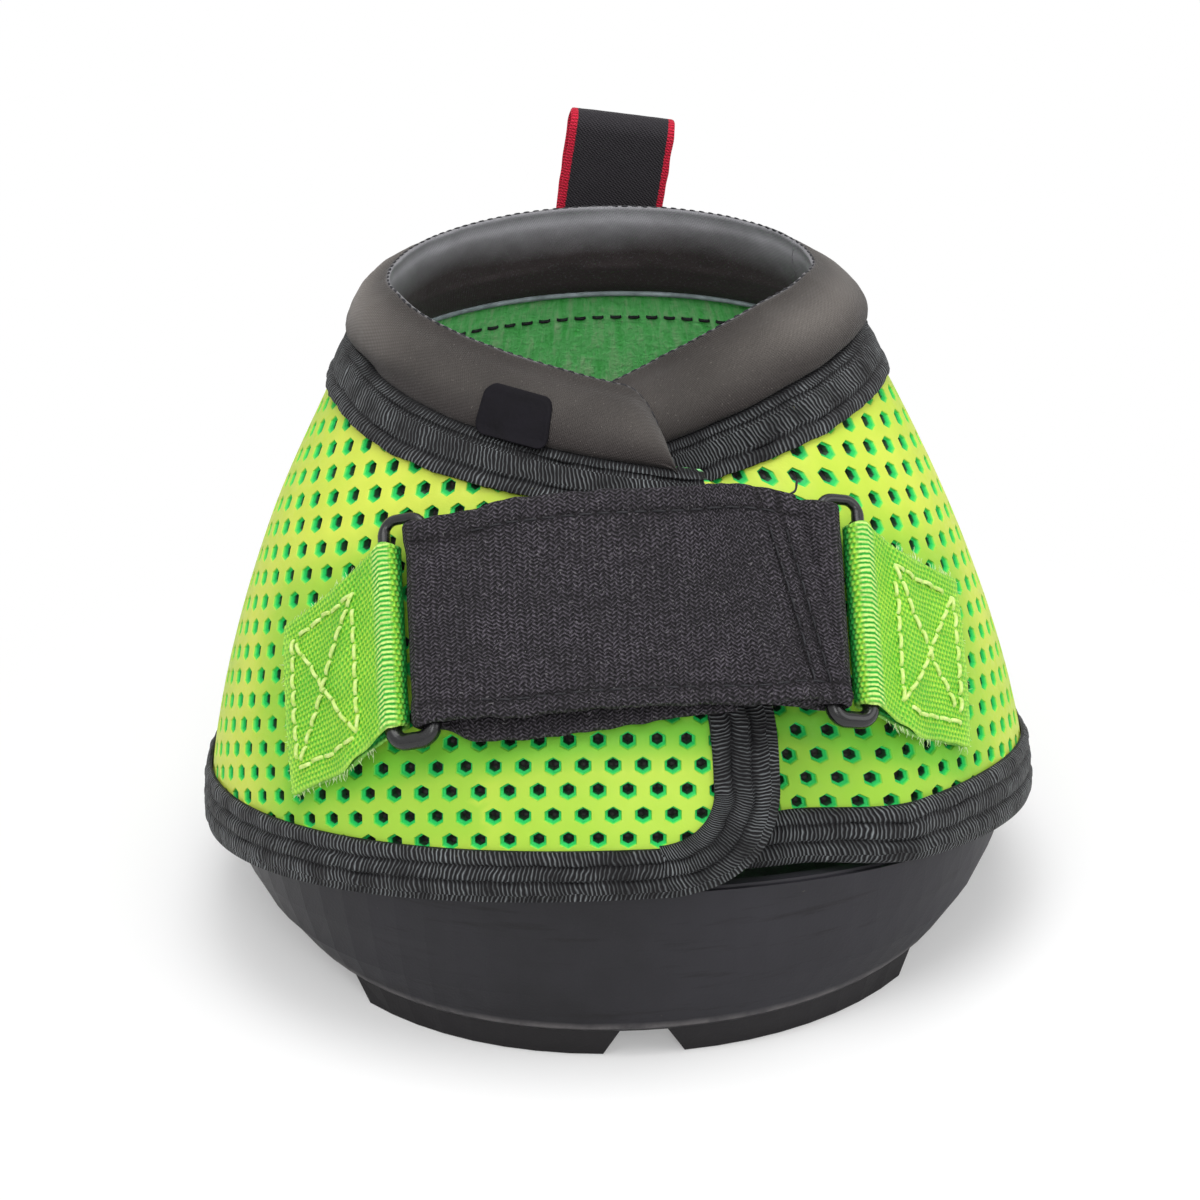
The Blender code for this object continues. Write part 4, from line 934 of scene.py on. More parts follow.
def collarSection(angle, flap):
    # Loop of (up, out), and each point's distance past the sewn seam on the crest's inner side.
    padding, height = collarSize["padding"], collarSize["height"]
    if flap > 0:
        height += collarSize["straightLift"] * bell(angle - boot["flatAt"], boot["flatSpan"])
    depth = layers + boot["gap"]
    *outerRows, (lastUp, lastOut) = collarSize["outer"]
    rows = [Vector((up * height, out * bulgeAt(angle))) for up, out in outerRows]
    rows.append(Vector((lastUp * height, lastOut * collarSize["bulge"])))
    rows += [Vector((up * height, -depth - padding * deep)) for up, deep in reversed(collarSize["inner"])]
    curve = curveThrough(rows, collarSize["fine"])
    seam, shaped, fromSeam = collarSize["seam"], [], []
    ridge, ridgeAt, ridgeWidth = collarSize["ridge"]
    for place, spot in enumerate(curve):
        run = (curve[min(place + 1, len(curve) - 1)] - curve[max(place - 1, 0)]).normalized()
        gone = sum((curve[step + 1] - curve[step]).length for step in range(min(seam, place), max(seam, place)))
        sunk = collarSize["groove"] * bell(gone, collarSize["creaseWidth"]) - ridge * bell(gone - ridgeAt, ridgeWidth)
        shaped.append(spot + Vector((-run.y, run.x)) * sunk)
        fromSeam.append(gone if place > seam else -gone)
    skirt = -collarSize["skirt"]
    section = [Vector((skirt, -depth)), Vector((boot["gap"], -depth))] + shaped
    section += [Vector((skirt + 0.0004, -depth - padding * 0.78)), Vector((skirt, -depth - padding * 0.55))]
    return section, [-1.0, -1.0] + fromSeam + [0.02, 0.02]


def collarPiece(name, surface, start, end, flap, tip=None):
    sections, spots, panel, low, shade, lit = [], [], [], [], [], []
    seamPath, pipingPath, linePath = [], [], []
    count = int(collarSize["steps"] * abs(end - start) / collarSize["stepTurn"])
    power = collarSize["tipPower"]
    for step in range(count + 1):
        angle = start + (end - start) * step / count
        scale = slant(angle)
        shape, fromSeam = collarSection(angle, flap)
        roundOff = 1.0
        if tip:
            roundOff = max(1 - (1 - clamped((end - angle) / tip)) ** power, 0) ** (1 / power)
        lift = 0.2 + 0.8 * roundOff
        section, travelled = [], 0.0
        for place, (up, out) in enumerate(shape):
            travelled += (shape[place] - shape[place - 1]).length if place else 0
            share = 1 + up / scale * (lift if up > 0 else 1)
            lump = 0
            if up >= 0.0005:
                lump = ripple(0.00040, angle * 6, travelled * 120, 1.7)
                lump += ripple(0.00010, angle * 21, travelled * 380, 8.2)
            section.append(surface(angle, share, out + lump - 0.0012 * (1 - roundOff) * (1 if up > 0.002 else 0)))
            spots.append((angle * collarSize["mapGirth"], travelled))
            panel.append(smooth((fromSeam[place] + 0.0002) / 0.0004))
            # How far below the seam on the inner side; it sets the inner panel's painted sheen and painted shade.
            low.append(clamped(fromSeam[place] / 0.012))
            # Painted highlight on the roll's crest, stronger on the left, and painted shade low on the outer panel and
            # at the front.
            hump = bell(fromSeam[place] + 0.0065, 0.0040)
            front = smooth((math.cos(angle + 0.25) - 0.1) / 0.7)
            lit.append(hump * (1 - front) * (1.0 if math.sin(angle) < 0 else 0.45))
            shade.append(smooth((-fromSeam[place] - 0.0080) / 0.0060) + 0.45 * front * (1 - hump))
        sections.append(section)
        sideways = outward(angle)
        upSeam, outSeam = shape[2 + collarSize["seam"]]
        seamPath.append((surface(angle, 1 + upSeam * lift / scale, outSeam),
                         (Vector((0, 0, 1)) - sideways * 0.55).normalized()))
        upEnd, outEnd = shape[-1]
        pipingPath.append(surface(angle, 1 + (upEnd - collarSize["piping"] * 0.6) / scale, outEnd + 0.0004))
        linePath.append((surface(angle, 1 - collarSize["sewnLine"] / scale, -layers - 0.0002), -sideways))
    marks = {"panel": panel, "low": low, "shade": shade, "lit": lit}
    piece = sweep(name, sections, finishes["collar"], spots, marks, sharp=50)
    seam = threadRow(name + "_seam", seamPath, *collarSize["seamStitch"], "blackThread", 0.0001, 0.0001, 1.1)
    line = threadRow(name + "_lining_stitches", linePath, *collarSize["lineStitch"], "blackThread", 0.0, 0.00015, 0.2)
    trim = tubeAlong(name + "_piping", pipingPath, collarSize["piping"], finishes["piping"], 8)
    return piece, seam, line, trim


collarStart, collarEnd = rearEnds("collar")
outerCollar = collarPiece("outer_collar", outerPoint, collarStart, collarSize["tip"], -1,
                          collarSize["tipLength"] / boot["ringSide"])
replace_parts(outerCollar[0], "heel_collar", "outer_flap_collar")
innerCollar = collarPiece("inner_collar", innerPoint, boot["hiddenEdge"], collarEnd, 1)
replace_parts(innerCollar[0], "inner_flap_collar", "heel_collar")
for piece in outerCollar:
    bendOuter(piece)
for piece in innerCollar:
    bendInner(piece)
print("collars made")


# Bindings: ribbed tape, stitched in rows

tape = {"step": 0.0008, "across": 24, "hemLines": (0.35, 0.69), "bandLines": (0.30, 0.90), "pucker": 0.00034,
        "bandGirth": 0.052, "hemGirth": 0.080, "bandTip": math.radians(19), "lineWidth": 0.045}


def tapeRelief(reach, width, along, lines):
    # Height of the tape over its foot, and how near a stitch line is: puffed rows between sewn grooves.
    share = reach / width
    stray = ripple(0.03, along * 120, 7.0, 1.0)
    near = max(bell(share - line - stray, tape["lineWidth"]) for line in lines)
    ends = (0.0, *(line + stray for line in lines), 1.0)
    row = sum(share > end for end in ends[1:-1])
    part = clamped((share - ends[row]) / max(ends[row + 1] - ends[row], 0.01))
    hump = (4 * part * (1 - part)) ** 0.35 if 0 < part < 1 else 0.0
    pull = ripple(tape["pucker"], along * 330, row * 3.7, 4.0)
    ragged = ripple(0.00008, along * 900, reach * 700, 2.0)
    high = boot["binding"] * (0.42 + 0.55 * hump) + pull * hump + ragged
    return high - 0.00030 * near, near


def upperBand(name, surface, start, end):
    wide, rows = boot["upperBand"], tape["across"]
    sections, spots, sewn = [], [], []
    count = int(abs(end - start) * tape["bandGirth"] / tape["step"])
    for step in range(count + 1):
        angle = start + (end - start) * step / count
        along = angle * tape["bandGirth"]
        wavy = ripple(0.00035, along * 190, 5.0, 0) + ripple(0.00018, along * 700, 1.0, 0)
        section = []

        def add(reach, lift, near):
            bottom = wavy * (1 - reach / wide)
            section.append(surface(angle, 1 - (wide - reach + bottom) / slant(angle), lift))
            spots.append((along, reach))
            sewn.append(near)

        for row in range(rows + 1):
            reach = wide * row / rows
            high, near = tapeRelief(reach, wide, along, tape["bandLines"])
            add(reach, boot["gap"] + high, near)
        add(wide + 0.0006, boot["gap"] + 0.0001, 1.0)
        add(wide + 0.0007, -boot["skin"] * 0.8, 1.0)
        add(wide - 0.0002, -boot["skin"] * 0.8, 1.0)
        add(wide - 0.0012, boot["gap"], 1.0)
        add(0.0, boot["gap"], 0.0)
        sections.append(section)
    piece = sweep(name, sections, finishes["tape"], spots, {"sewn": sewn}, sharp=60)
    return piece


bandStart, bandEnd = rearEnds("band")
outerBand = upperBand("outer_upper_tape", outerPoint, bandStart, tape["bandTip"])
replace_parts(outerBand, "heel_upper_binding", "outer_flap_upper_binding")
bendOuter(outerBand)
innerBand = upperBand("inner_upper_tape", innerPoint, boot["hiddenEdge"], bandEnd)
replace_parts(innerBand, "inner_flap_upper_binding", "heel_upper_binding")
bendInner(innerBand)


def edgeTape(along):
    # Loop of (reach, offset, nearness to a stitch line) round the sheet's edge, from the front edge to the back one and
    # inside again.
    width, back, grow = boot["bindingWidth"], boot["bindingBack"], boot["binding"]
    wavy = ripple(0.00045, along * 170, 9.0, 0) + ripple(0.00020, along * 620, 4.0, 0)
    loop = []
    rows = tape["across"]
    for row in range(rows + 1):
        reach = width * (1 - row / rows)
        high, near = tapeRelief(reach, width, along, tape["hemLines"])
        if row == rows:
            high = grow * 0.8
        loop.append((reach + wavy * (1 - row / rows), boot["gap"] + high, near))
    middle, half = (grow * 0.8 - layers - grow) / 2, (layers + 1.8 * grow) / 2 + boot["gap"]
    for step in range(1, 8):
        around = math.pi * step / 8
        loop.append((-(boot["gap"] + grow) * math.sin(around) ** 0.7, middle + half * math.cos(around), 0.0))
    for row in range(7):
        reach = back * row / 6
        loop.append((reach, -layers - boot["gap"] - grow * (0.55 + 0.45 * smooth(min(1 - row / 6, 1) / 0.2)), 0.0))
    for reach, offset in ((back, -layers - boot["gap"]), (0, -layers - boot["gap"]), (-boot["gap"], -layers / 2),
                          (0, boot["gap"]), (width, boot["gap"])):
        loop.append((reach, offset, 0.0))
    return loop


def hemTape(name, surface, start, end, turnsUp, low=lambda angle: 0.0):
    sections, spots, sewn = [], [], []
    radius = boot["corner"]
    scale = slant(math.pi / 2)
    travelled = 0.0

    def add(place):
        along = travelled
        loop = edgeTape(along)
        sections.append([place(reach, offset) for reach, offset, near in loop])
        length = 0.0
        for index, (reach, offset, near) in enumerate(loop):
            length += math.dist((reach, offset), loop[index - 1][:2]) if index else 0
            spots.append((along, length))
            sewn.append(near)

    def alongHem(reach, offset):
        lifted = low(angle) * (0.4 + 0.6 * reach / boot["bindingWidth"])
        return surface(angle, reach / scale + lifted, offset)

    count = int(abs(end - start) * tape["hemGirth"] / tape["step"])
    last = freeEdge(0) - radius / girth(0) if turnsUp else end
    for step in range(count + 1):
        angle = start + (last - start) * (step / count)
        travelled = angle * tape["hemGirth"]
        add(alongHem)
    if turnsUp:
        corner = slant(boot["flapEdge"])
        base = travelled
        turns = int(radius * math.pi / 2 / tape["step"])
        for step in range(1, turns + 1):
            turn = math.pi / 2 * step / turns
            travelled = base + radius * turn

            def cornerPlace(reach, offset):
                inner = radius - reach
                share = (radius - inner * math.cos(turn)) / corner
                return surface(freeEdge(share) + (inner * math.sin(turn) - radius) / girth(share), share, offset)

            add(cornerPlace)
        top = 1 - boot["upperBand"] / slant(math.pi / 2) - boot["gap"] / corner
        base = travelled
        rise = (top - radius / corner) * corner
        rises = int(rise / tape["step"])
        for step in range(1, rises + 1):
            share = radius / corner + (top - radius / corner) * step / rises
            travelled = base + rise * step / rises
            add(lambda reach, offset: surface(freeEdge(share) - reach / girth(share), share, offset))
    piece = sweep(name, sections, finishes["tape"], spots, {"sewn": sewn}, sharp=60)
    return piece


outerHem = hemTape("outer_hem_tape", outerPoint, outerStart, boot["flapEdge"], True)
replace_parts(outerHem, "heel_lower_binding", "outer_flap_edge_binding")
bendOuter(outerHem)
innerHem = hemTape("inner_hem_tape", innerPoint, boot["hiddenEdge"], innerEnd, False, innerLow)
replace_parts(innerHem, "inner_flap_lower_binding", "heel_lower_binding")
bendInner(innerHem)
print("bindings made")


# Places on the strap's line

band = {"strapWidth": 0.0380, "strap": 0.0016, "bar": 0.0016, "pitch": 0.0078, "inside": 0.0388,
        "ringCorner": 0.0026, "cornerSteps": 8, "barSides": 14, "slimmer": 0.0006, "narrowing": 0.13,
        "reach": 0.0383, "drop": 0.0046, "under": 0.0200, "tip": 0.0395, "endLoop": 0.0255,
        "height": 0.595, "barHeight": 0.637, "tilt": 0.13, "webbingWidth": 0.0342, "webbing": 0.0011,
        "webbingLength": 0.0275, "setDown": 0.0028, "dip": {-1: math.radians(31), 1: math.radians(25)},
        "foldSetDown": 0.0013, "foldDroop": 0.9, "pad": 0.0012, "padLength": 0.0220, "padEnd": 0.0080,
        "padWidth": 0.0300, "fine": 0.0009}
loopRadius = band["bar"] + boot["gap"] + band["strap"]
ringLift = loopRadius + 2 * boot["gap"]
underLift = boot["gap"] + boot["binding"] + boot["gap"] + band["strap"] / 2
topLift = underLift + band["strap"] + boot["gap"] + band["pad"] + boot["gap"]


def strapPlace(along, up, height=band["height"]):
    part = along / band["reach"]
    tilt = band["tilt"] * part
    middle = height - band["drop"] * part * part / slant(0)
    share = middle + up * math.cos(tilt) / slant(0)
    return (along + up * math.sin(tilt)) / girth(share), share


def onSkin(angle, share, lift):
    step = math.radians(0.5)
    roundWay = conePoint(angle + step, share) - conePoint(angle - step, share)
    upWay = conePoint(angle, share + step) - conePoint(angle, share - step)
    return conePoint(angle, share) + roundWay.cross(upWay).normalized() * lift


def barFrame(along):
    # On the joints' axes; the rings sit a little lower along them than the solids do.
    angle, share = strapPlace(along, 0, band["barHeight"])
    centre = onSkin(angle, share, ringLift)
    half = band["strapWidth"] / 2
    low, high = (conePoint(*strapPlace(along, reach, band["barHeight"])) for reach in (-half, half))
    up = (high - low).normalized()
    out = centre - conePoint(angle, share)
    out = (out - up * out.dot(up)).normalized()
    side = up.cross(out) if along > 0 else out.cross(up)
    return centre - up * (band["barHeight"] - band["height"]) * slant(0), side, up, out


def inFrame(frame, along, up, out):
    return frame[0] + frame[1] * along + frame[2] * up + frame[3] * out


def blended(frame, frameAlong, place, setDown=0.0, droop=0.0):
    near, far = 2 * loopRadius, 5 * loopRadius

    def pointAt(along, up, lift):
        weight = 1 - smooth((abs(along - frameAlong) - near) / (far - near))
        soft = onSkin(*place(along, up), lift)
        if weight <= 0:
            return soft
        side = 1 if frameAlong > 0 else -1
        beyond = side * (along - frameAlong)
        hard = inFrame(frame, beyond, up - setDown - droop * max(beyond, 0), lift - ringLift)
        return soft + (hard - soft) * weight

    return pointAt


def withUp(pointAt, along, up, lift):
    # A point on a band and the way that faces out of it there.
    there = pointAt(along, up, lift)
    return there, (there - pointAt(along, up, lift - 0.002)).normalized()


def foldPath(centre, radius, start, end, count=12):
    return [(centre + radius * math.cos(start + (end - start) * step / count),
             ringLift + radius * math.sin(start + (end - start) * step / count)) for step in range(count + 1)]


def refined(path, longest=0.0012):
    points = [path[0]]
    for before, after in zip(path, path[1:]):
        count = max(math.ceil(math.dist(before, after) / longest), 1)
        for step in range(1, count + 1):
            points.append(tuple(first + (last - first) * step / count for first, last in zip(before, after)))
    return points


def bandPiece(name, path, width, thick, pointAt, material, relief=None, ragged=0.0, across=16, marks=None):
    # Folded band with rounded long edges; path is a row of (along, lift).
    sections, spots, values = [], [], []
    travelled = 0.0
    insets = [0.0, 0.25 * thick, 0.6 * thick]
    for step, (along, lift) in enumerate(path):
        before, after = path[max(step - 1, 0)], path[min(step + 1, len(path) - 1)]
        travelled += math.dist(before, path[step]) if step else 0
        run = Vector((after[0] - before[0], after[1] - before[1])).normalized()
        normal = Vector((-run.y, run.x))
        half = width / 2 + ripple(ragged, travelled * 300, 3.0, 7.0)
        ups = [-half + inset for inset in insets]
        ups += [(-half + insets[-1]) + (2 * half - 2 * insets[-1]) * part / across for part in range(1, across)]
        ups += [half - inset for inset in reversed(insets)]
        section = []
        for side, row in ((1, ups), (-1, ups[::-1][1:-1])):
            for up in row:
                inset = half - abs(up)
                rounding = math.sqrt(max(1 - (1 - min(inset / insets[-1], 1.0)) ** 2, 0.0))
                push = side * thick / 2 * rounding
                if relief:
                    push += relief(travelled, up, side) * rounding
                section.append(pointAt(along + normal.x * push, up, lift + normal.y * push))
                spots.append((travelled, up))
                values.append([mark(travelled, up, side) for mark in (marks or {}).values()])
        sections.append(section)
    return sweep(name, sections, material, spots, dict(zip(marks or (), zip(*values))) if marks else None, sharp=60)


leftFrame, rightFrame = barFrame(-band["reach"]), barFrame(band["reach"])


# Rings

def ringPiece(name, frame, body):
    bar, pitch, corner = band["bar"], band["pitch"], band["ringCorner"]
    half = (band["inside"] + 2 * bar) / 2
    high = half - band["slimmer"]
    path = []
    steps, sides = band["cornerSteps"], band["barSides"]
    for along, up, start in ((0, -half, math.pi), (pitch, -half, 1.5 * math.pi), (pitch, high, 0),
                             (0, high, 0.5 * math.pi)):
        middle = Vector((along + (corner if along == 0 else -corner), up - math.copysign(corner, up)))
        for step in range(steps + 1):
            turn = start + math.pi / 2 * step / steps
            path.append(middle + Vector((math.cos(turn), math.sin(turn))) * corner)
    sections = []
    for step, spot in enumerate(path):
        run = (path[(step + 1) % len(path)] - path[step - 1]).normalized()
        across = Vector((run.y, -run.x))
        radius = bar - band["slimmer"] * smooth((spot.y - 0.0150) / 0.0045)
        section = []
        for part in range(sides):
            turn = math.tau * part / sides
            place = spot + across * (radius * math.cos(turn))
            section.append(inFrame(frame, place.x, place.y, radius * math.sin(turn)))
        sections.append(section)
    piece = sweep(name + "_smooth", sections, finishes["plastic"], closed=True)
    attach(piece, body)
    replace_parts(piece, name)


ringPiece("left_ring", leftFrame, "left_ring")
ringPiece("right_ring", rightFrame, "right_ring")


# Webbing tabs

def webbingPath(side):
    bar = side * (band["reach"] + band["pitch"])
    eye = band["bar"] + boot["gap"] + band["webbing"] / 2
    far = bar + side * band["webbingLength"]
    under = boot["gap"] + band["webbing"] / 2
    top = under + band["webbing"] + boot["gap"]
    straight = side * (eye + loopRadius)
    turns = (-math.pi / 2, -1.5 * math.pi) if side > 0 else (-math.pi / 2, math.pi / 2)
    path = refined([(far, under), (bar + straight, under)]) + foldPath(bar, eye, *turns)
    lead = [(bar + straight, top + band["webbing"]), (bar + 2 * straight, top), (far, top)]
    return path + refined([path[-1], lead[0]])[1:] + refined(lead)[1:]


def webbingPlace(side):
    bar = side * (band["reach"] + band["pitch"])

    def place(along, up):
        beyond = abs(along - bar) if (along - bar) * side > 0 else 0
        up *= 1 - band["narrowing"] * smooth(beyond / band["webbingLength"])
        share = strapPlace(bar, up - band["setDown"])[1]
        share -= beyond * math.sin(band["dip"][side]) / slant(0)
        run = abs(bar) + up * math.sin(band["tilt"]) + (along - bar) * side * math.cos(band["dip"][side])
        return side * run / girth(share), share

    return place


sewing = {"box": (0.0072, 0.0246), "high": 0.0128, "stitch": (0.0030, 0.0003, 0.00040),
          "ladder": (0.0012, 0.0046), "stray": 0.0006, "steps": 24}
tufts = {"seed": 11, "strands": 150, "atEnd": 0.55, "thick": 0.00011, "steps": 3, "turns": (0, 2.1, 4.2)}


def webbingTab(name, side, frame, body):
    bar = side * (band["reach"] + band["pitch"])
    shifted = (inFrame(frame, band["pitch"], 0, 0), *frame[1:])
    pointAt = blended(shifted, bar, webbingPlace(side), band["foldSetDown"],
                      math.sin(band["dip"][side]) * band["foldDroop"])
    path = webbingPath(side)
    total = sum(math.dist(a, b) for a, b in zip(path, path[1:]))
    topLayer = path[-1][1]
    visible = band["webbingLength"] + loopRadius

    def relief(travelled, up, face):
        rough = ripple(0.00016, travelled * 160, up * 160, 6.0 + side)
        rough += ripple(0.00012, travelled * 700, up * 700, 3.0)
        inBox = max(0.0, 1 - abs(total - travelled - 0.0115) / 0.009) * max(0.0, 1 - abs(up) / 0.015)
        return rough + (0.00035 * inBox if face > 0 else 0)

    def pale(travelled, up, face):
        end = min(travelled, total - travelled, (band["webbingWidth"] / 2 - abs(up)) * 2.2)
        return smooth((0.0018 - end) / 0.0014) * (0.45 + ripple(0.5, travelled * 700, up * 700, 1.0))

    def ladder(travelled, up, face):
        fromBend = visible - (total - travelled)
        low, high = sewing["ladder"]
        return 1.0 if low < fromBend < high and (fromBend < low + 0.0016 or fromBend > high - 0.0010) else 0.0

    def shade(travelled, up, face):
        fromBend = visible - (total - travelled)
        return smooth((0.0004 - fromBend) / 0.0012)

    piece = bandPiece(name, path, band["webbingWidth"], band["webbing"], pointAt, finishes["webbing"], relief,
                      0.0005, across=26, marks={"pale": pale, "ladder": ladder, "shade": shade})
    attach(piece, body)

    # Sewn box with a cross in it, in pale thread
    near, far = (bar + side * reach for reach in sewing["box"])
    half = sewing["high"]
    straight = band["bar"] + boot["gap"] + band["webbing"] / 2 + loopRadius

    def onTop(along, up):
        raised = band["webbing"] * (0.6 + clamped(2 - abs(along - bar) / straight))
        return withUp(pointAt, along, up, topLayer + raised + relief(total - abs(along - bar), up, 1))

    def seam(first, last, wobble):
        row = []
        for step in range(sewing["steps"] + 1):
            part = step / sewing["steps"]
            stray = ripple(sewing["stray"], part * 5, wobble, side * 3.0)
            row.append(onTop(*(start + (end - start) * part + stray for start, end in zip(first, last))))
        return row

    corners = ((near, -half), (near, half), (far, half), (far, -half))
    lines = [(corners[index], corners[(index + 1) % 4]) for index in range(4)]
    lines += [(corners[0], corners[2]), (corners[1], corners[3])]
    for index, (first, last) in enumerate(lines):
        thread = threadRow(name + "_box_stitch_" + "abcdef"[index], seam(first, last, index * 2.3), *sewing["stitch"],
                           "thread", 0.0002, 0.00022, 0.3)
        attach(thread, body)

    # Frayed ends
    points, faces = [], []
    tuft = random.Random(tufts["seed"] + side)
    steps, turns = tufts["steps"], tufts["turns"]
    for strand in range(tufts["strands"]):
        if tuft.random() < tufts["atEnd"]:
            along, up = bar + side * band["webbingLength"], (tuft.random() - 0.5) * band["webbingWidth"]
            leave = Vector((side, tuft.uniform(-0.5, 0.5)))
        else:
            up = (1 if tuft.random() < 0.5 else -1) * band["webbingWidth"] / 2
            along = bar + side * tuft.uniform(0.004, band["webbingLength"])
            leave = Vector((tuft.uniform(-0.7, 0.7), math.copysign(1, up)))
        length = tuft.uniform(0.0006, 0.0017) * (1.8 if tuft.random() < 0.08 else 1)
        lift = topLayer - band["webbing"] * tuft.uniform(0.0, 0.9)
        base = len(points)
        for step in range(steps + 1):
            part = step / steps
            place = pointAt(along + leave.x * length * part, up + leave.y * length * part,
                            lift + tuft.uniform(-0.2, 0.25) * length * part)
            for turn in turns:
                points.append(place + Vector((math.cos(turn), 0.3, math.sin(turn))) * tufts["thick"] * (1.2 - part))
        faces += stacked(len(turns), steps + 1, base)
    fray = makePiece(name + "_frayed_threads", points, faces, finishes["fray"])
    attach(fray, body)
    return piece


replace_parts(webbingTab("left_webbing", -1, leftFrame, "outer_flap"), "left_webbing_tab")
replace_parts(webbingTab("right_webbing", 1, rightFrame, "inner_flap"), "right_webbing_tab")


# Strap

strapSewing = {"top": 0.0147, "bottom": -0.0158, "columns": (0.0036, 0.0068), "shear": 0.25, "underDrop": 0.0036,
               "depth": 0.00034, "reach": 0.079, "width": 0.00050, "rowSteps": 60, "columnSteps": 40,
               "stitch": (0.0024, 0.0009, 0.00020)}
strapLeft = blended(leftFrame, -band["reach"], strapPlace)
strapRight = blended(rightFrame, band["reach"], strapPlace)
turnRadius = band["bar"] + boot["gap"] + band["strap"] / 2
overRing = ringLift + loopRadius + boot["gap"] + band["strap"] / 2


def strapPoint(along, up, lift):
    if lift > topLift - band["strap"] and along > 0:
        along -= strapSewing["shear"] * (up + band["strapWidth"] / 2) * smooth((along - 0.008) / 0.028)
    elif lift < ringLift:
        up -= strapSewing["underDrop"] * smooth((0.030 - along) / 0.045) * smooth((along + band["reach"]) / 0.008)
    return (strapLeft if along < 0 else strapRight)(along, up, lift)


def strapPath():
    bar = -band["reach"]
    under = [(band["under"], underLift), (bar + 2 * loopRadius, underLift), (bar + loopRadius, ringLift - turnRadius)]
    over = [(bar + loopRadius, ringLift + turnRadius), (bar + 3 * loopRadius, topLift), (band["padEnd"], topLift),
            (band["endLoop"], overRing), (band["tip"], overRing)]
    turn = foldPath(bar, turnRadius, -math.pi / 2, -1.5 * math.pi)
    path = refined(under, band["fine"]) + refined([under[-1], turn[0]])[1:] + turn[1:]
    return path + refined([turn[-1], over[0]])[1:] + refined(over, band["fine"])[1:]


strapRoute = strapPath()
strapLength = sum(math.dist(a, b) for a, b in zip(strapRoute, strapRoute[1:]))


def strapSewn(travelled, up, side):
    # Hem seams along both long edges and two seams across near the free end.
    fromTip = strapLength - travelled
    if side < 0 or fromTip > strapSewing["reach"]:
        return 0.0
    bend = ripple(0.0005, travelled * 60, 3.0, 1.0)
    near = [abs(up - strapSewing["top"] - bend), abs(up - strapSewing["bottom"] - bend)]
    near += [abs(fromTip - column + ripple(0.0004, up * 200, column * 900, 0)) for column in strapSewing["columns"]]
    return bell(min(near), strapSewing["width"])


def strapRelief(travelled, up, side):
    if side < 0:
        return 0.0
    fromTip = strapLength - travelled
    lump = ripple(0.00026, travelled * 90, up * 110, 2.0)
    lump += ripple(0.00040, travelled * 160, up * 60, 9.0) * smooth((0.022 - fromTip) / 0.014)
    hem = 0.00035 * smooth((abs(up) - 0.0130) / 0.003)
    fine = ripple(0.00010, travelled * 520, up * 520, 5.0)
    return lump + fine + hem - strapSewing["depth"] * strapSewn(travelled, up, side)


strap = bandPiece("strap_band", strapRoute, band["strapWidth"], band["strap"], strapPoint, finishes["strap"],
                  strapRelief, 0.00035, across=44, marks={"sewn": strapSewn})
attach(strap, "strap")
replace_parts(strap, "strap")


def strapSeams():
    top = overRing + band["strap"] / 2

    def on(along, up):
        climb = smooth((along - band["padEnd"]) / (band["endLoop"] - band["padEnd"]))
        return withUp(strapPoint, along, up, topLift + band["strap"] / 2 + (top - topLift - band["strap"] / 2) * climb)

    first, last = -band["reach"] + 0.007, band["tip"] - 0.0016
    low, high, steps = strapSewing["bottom"], strapSewing["top"], strapSewing["rowSteps"]
    rows = [[on(first + (last - first) * step / steps, up) for step in range(steps + 1)] for up in (high, low)]
    steps = strapSewing["columnSteps"]
    for column in strapSewing["columns"]:
        rows.append([on(band["tip"] - column, low + (high - low) * step / steps) for step in range(steps + 1)])
    for index, row in enumerate(rows):
        thread = threadRow("strap_seam_" + "abcd"[index], row, *strapSewing["stitch"], "blackThread",
                           0.0001, 0.0001, 0.5)
        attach(thread, "strap")
    # Stray thread at the top right corner
    there, up = on(band["tip"] - 0.0010, band["strapWidth"] / 2 - 0.0006)
    side = (on(band["tip"], 0.015)[0] - on(band["tip"] - 0.003, 0.015)[0]).normalized()
    rise = (on(band["tip"] - 0.004, 0.018)[0] - on(band["tip"] - 0.004, 0.012)[0]).normalized()
    path = curveThrough([there, there + side * 0.0012 + rise * 0.0008 + up * 0.0006,
                         there + side * 0.0018 + rise * 0.0022 + up * 0.0009, there + side * 0.0027 + rise * 0.0032], 5)
    stray = tubeAlong("strap_stray_thread", path, 0.00022, finishes["blackThread"], 6)
    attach(stray, "strap")


strapSeams()


def endLoopPiece():
    bar = band["reach"]
    meet = band["strap"] / 2 + boot["gap"] / 2
    back = loopRadius * 0.6
    path = [(band["endLoop"], ringLift - meet), (bar - 2 * loopRadius, ringLift - meet),
            (bar - back, ringLift - turnRadius)]
    path = refined(path) + foldPath(bar, turnRadius, -math.pi / 2, math.pi / 2)
    path += refined([(bar - back, ringLift + turnRadius), (bar - 2 * loopRadius, ringLift + meet),
                     (band["endLoop"], ringLift + meet)])
    piece = bandPiece("strap_end_fold", path, band["strapWidth"], band["strap"],
                      lambda along, up, lift: inFrame(rightFrame, along - bar, up, lift - ringLift),
                      finishes["strap"],
                      lambda travelled, up, side: ripple(0.0001, travelled * 300, up * 300, 0), 0.0002)
    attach(piece, "right_ring")
    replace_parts(piece, "strap_end_loop")


endLoopPiece()


# Pull loop

pull = {"width": 0.0200, "tape": 0.0009, "gap": 0.0055, "length": 0.0285, "offset": 0.0026,
        "lean": math.radians(10), "rows": (0.25, 0.6), "out": 0.0017}


def pullRoot(across):
    angle = math.pi - (pull["offset"] + across) / boot["ringHeel"]
    return conePoint(angle, 1.0, pull["out"] + boot["gap"] + pull["tape"] / 2) + Vector((0, 0, boot["gap"]))


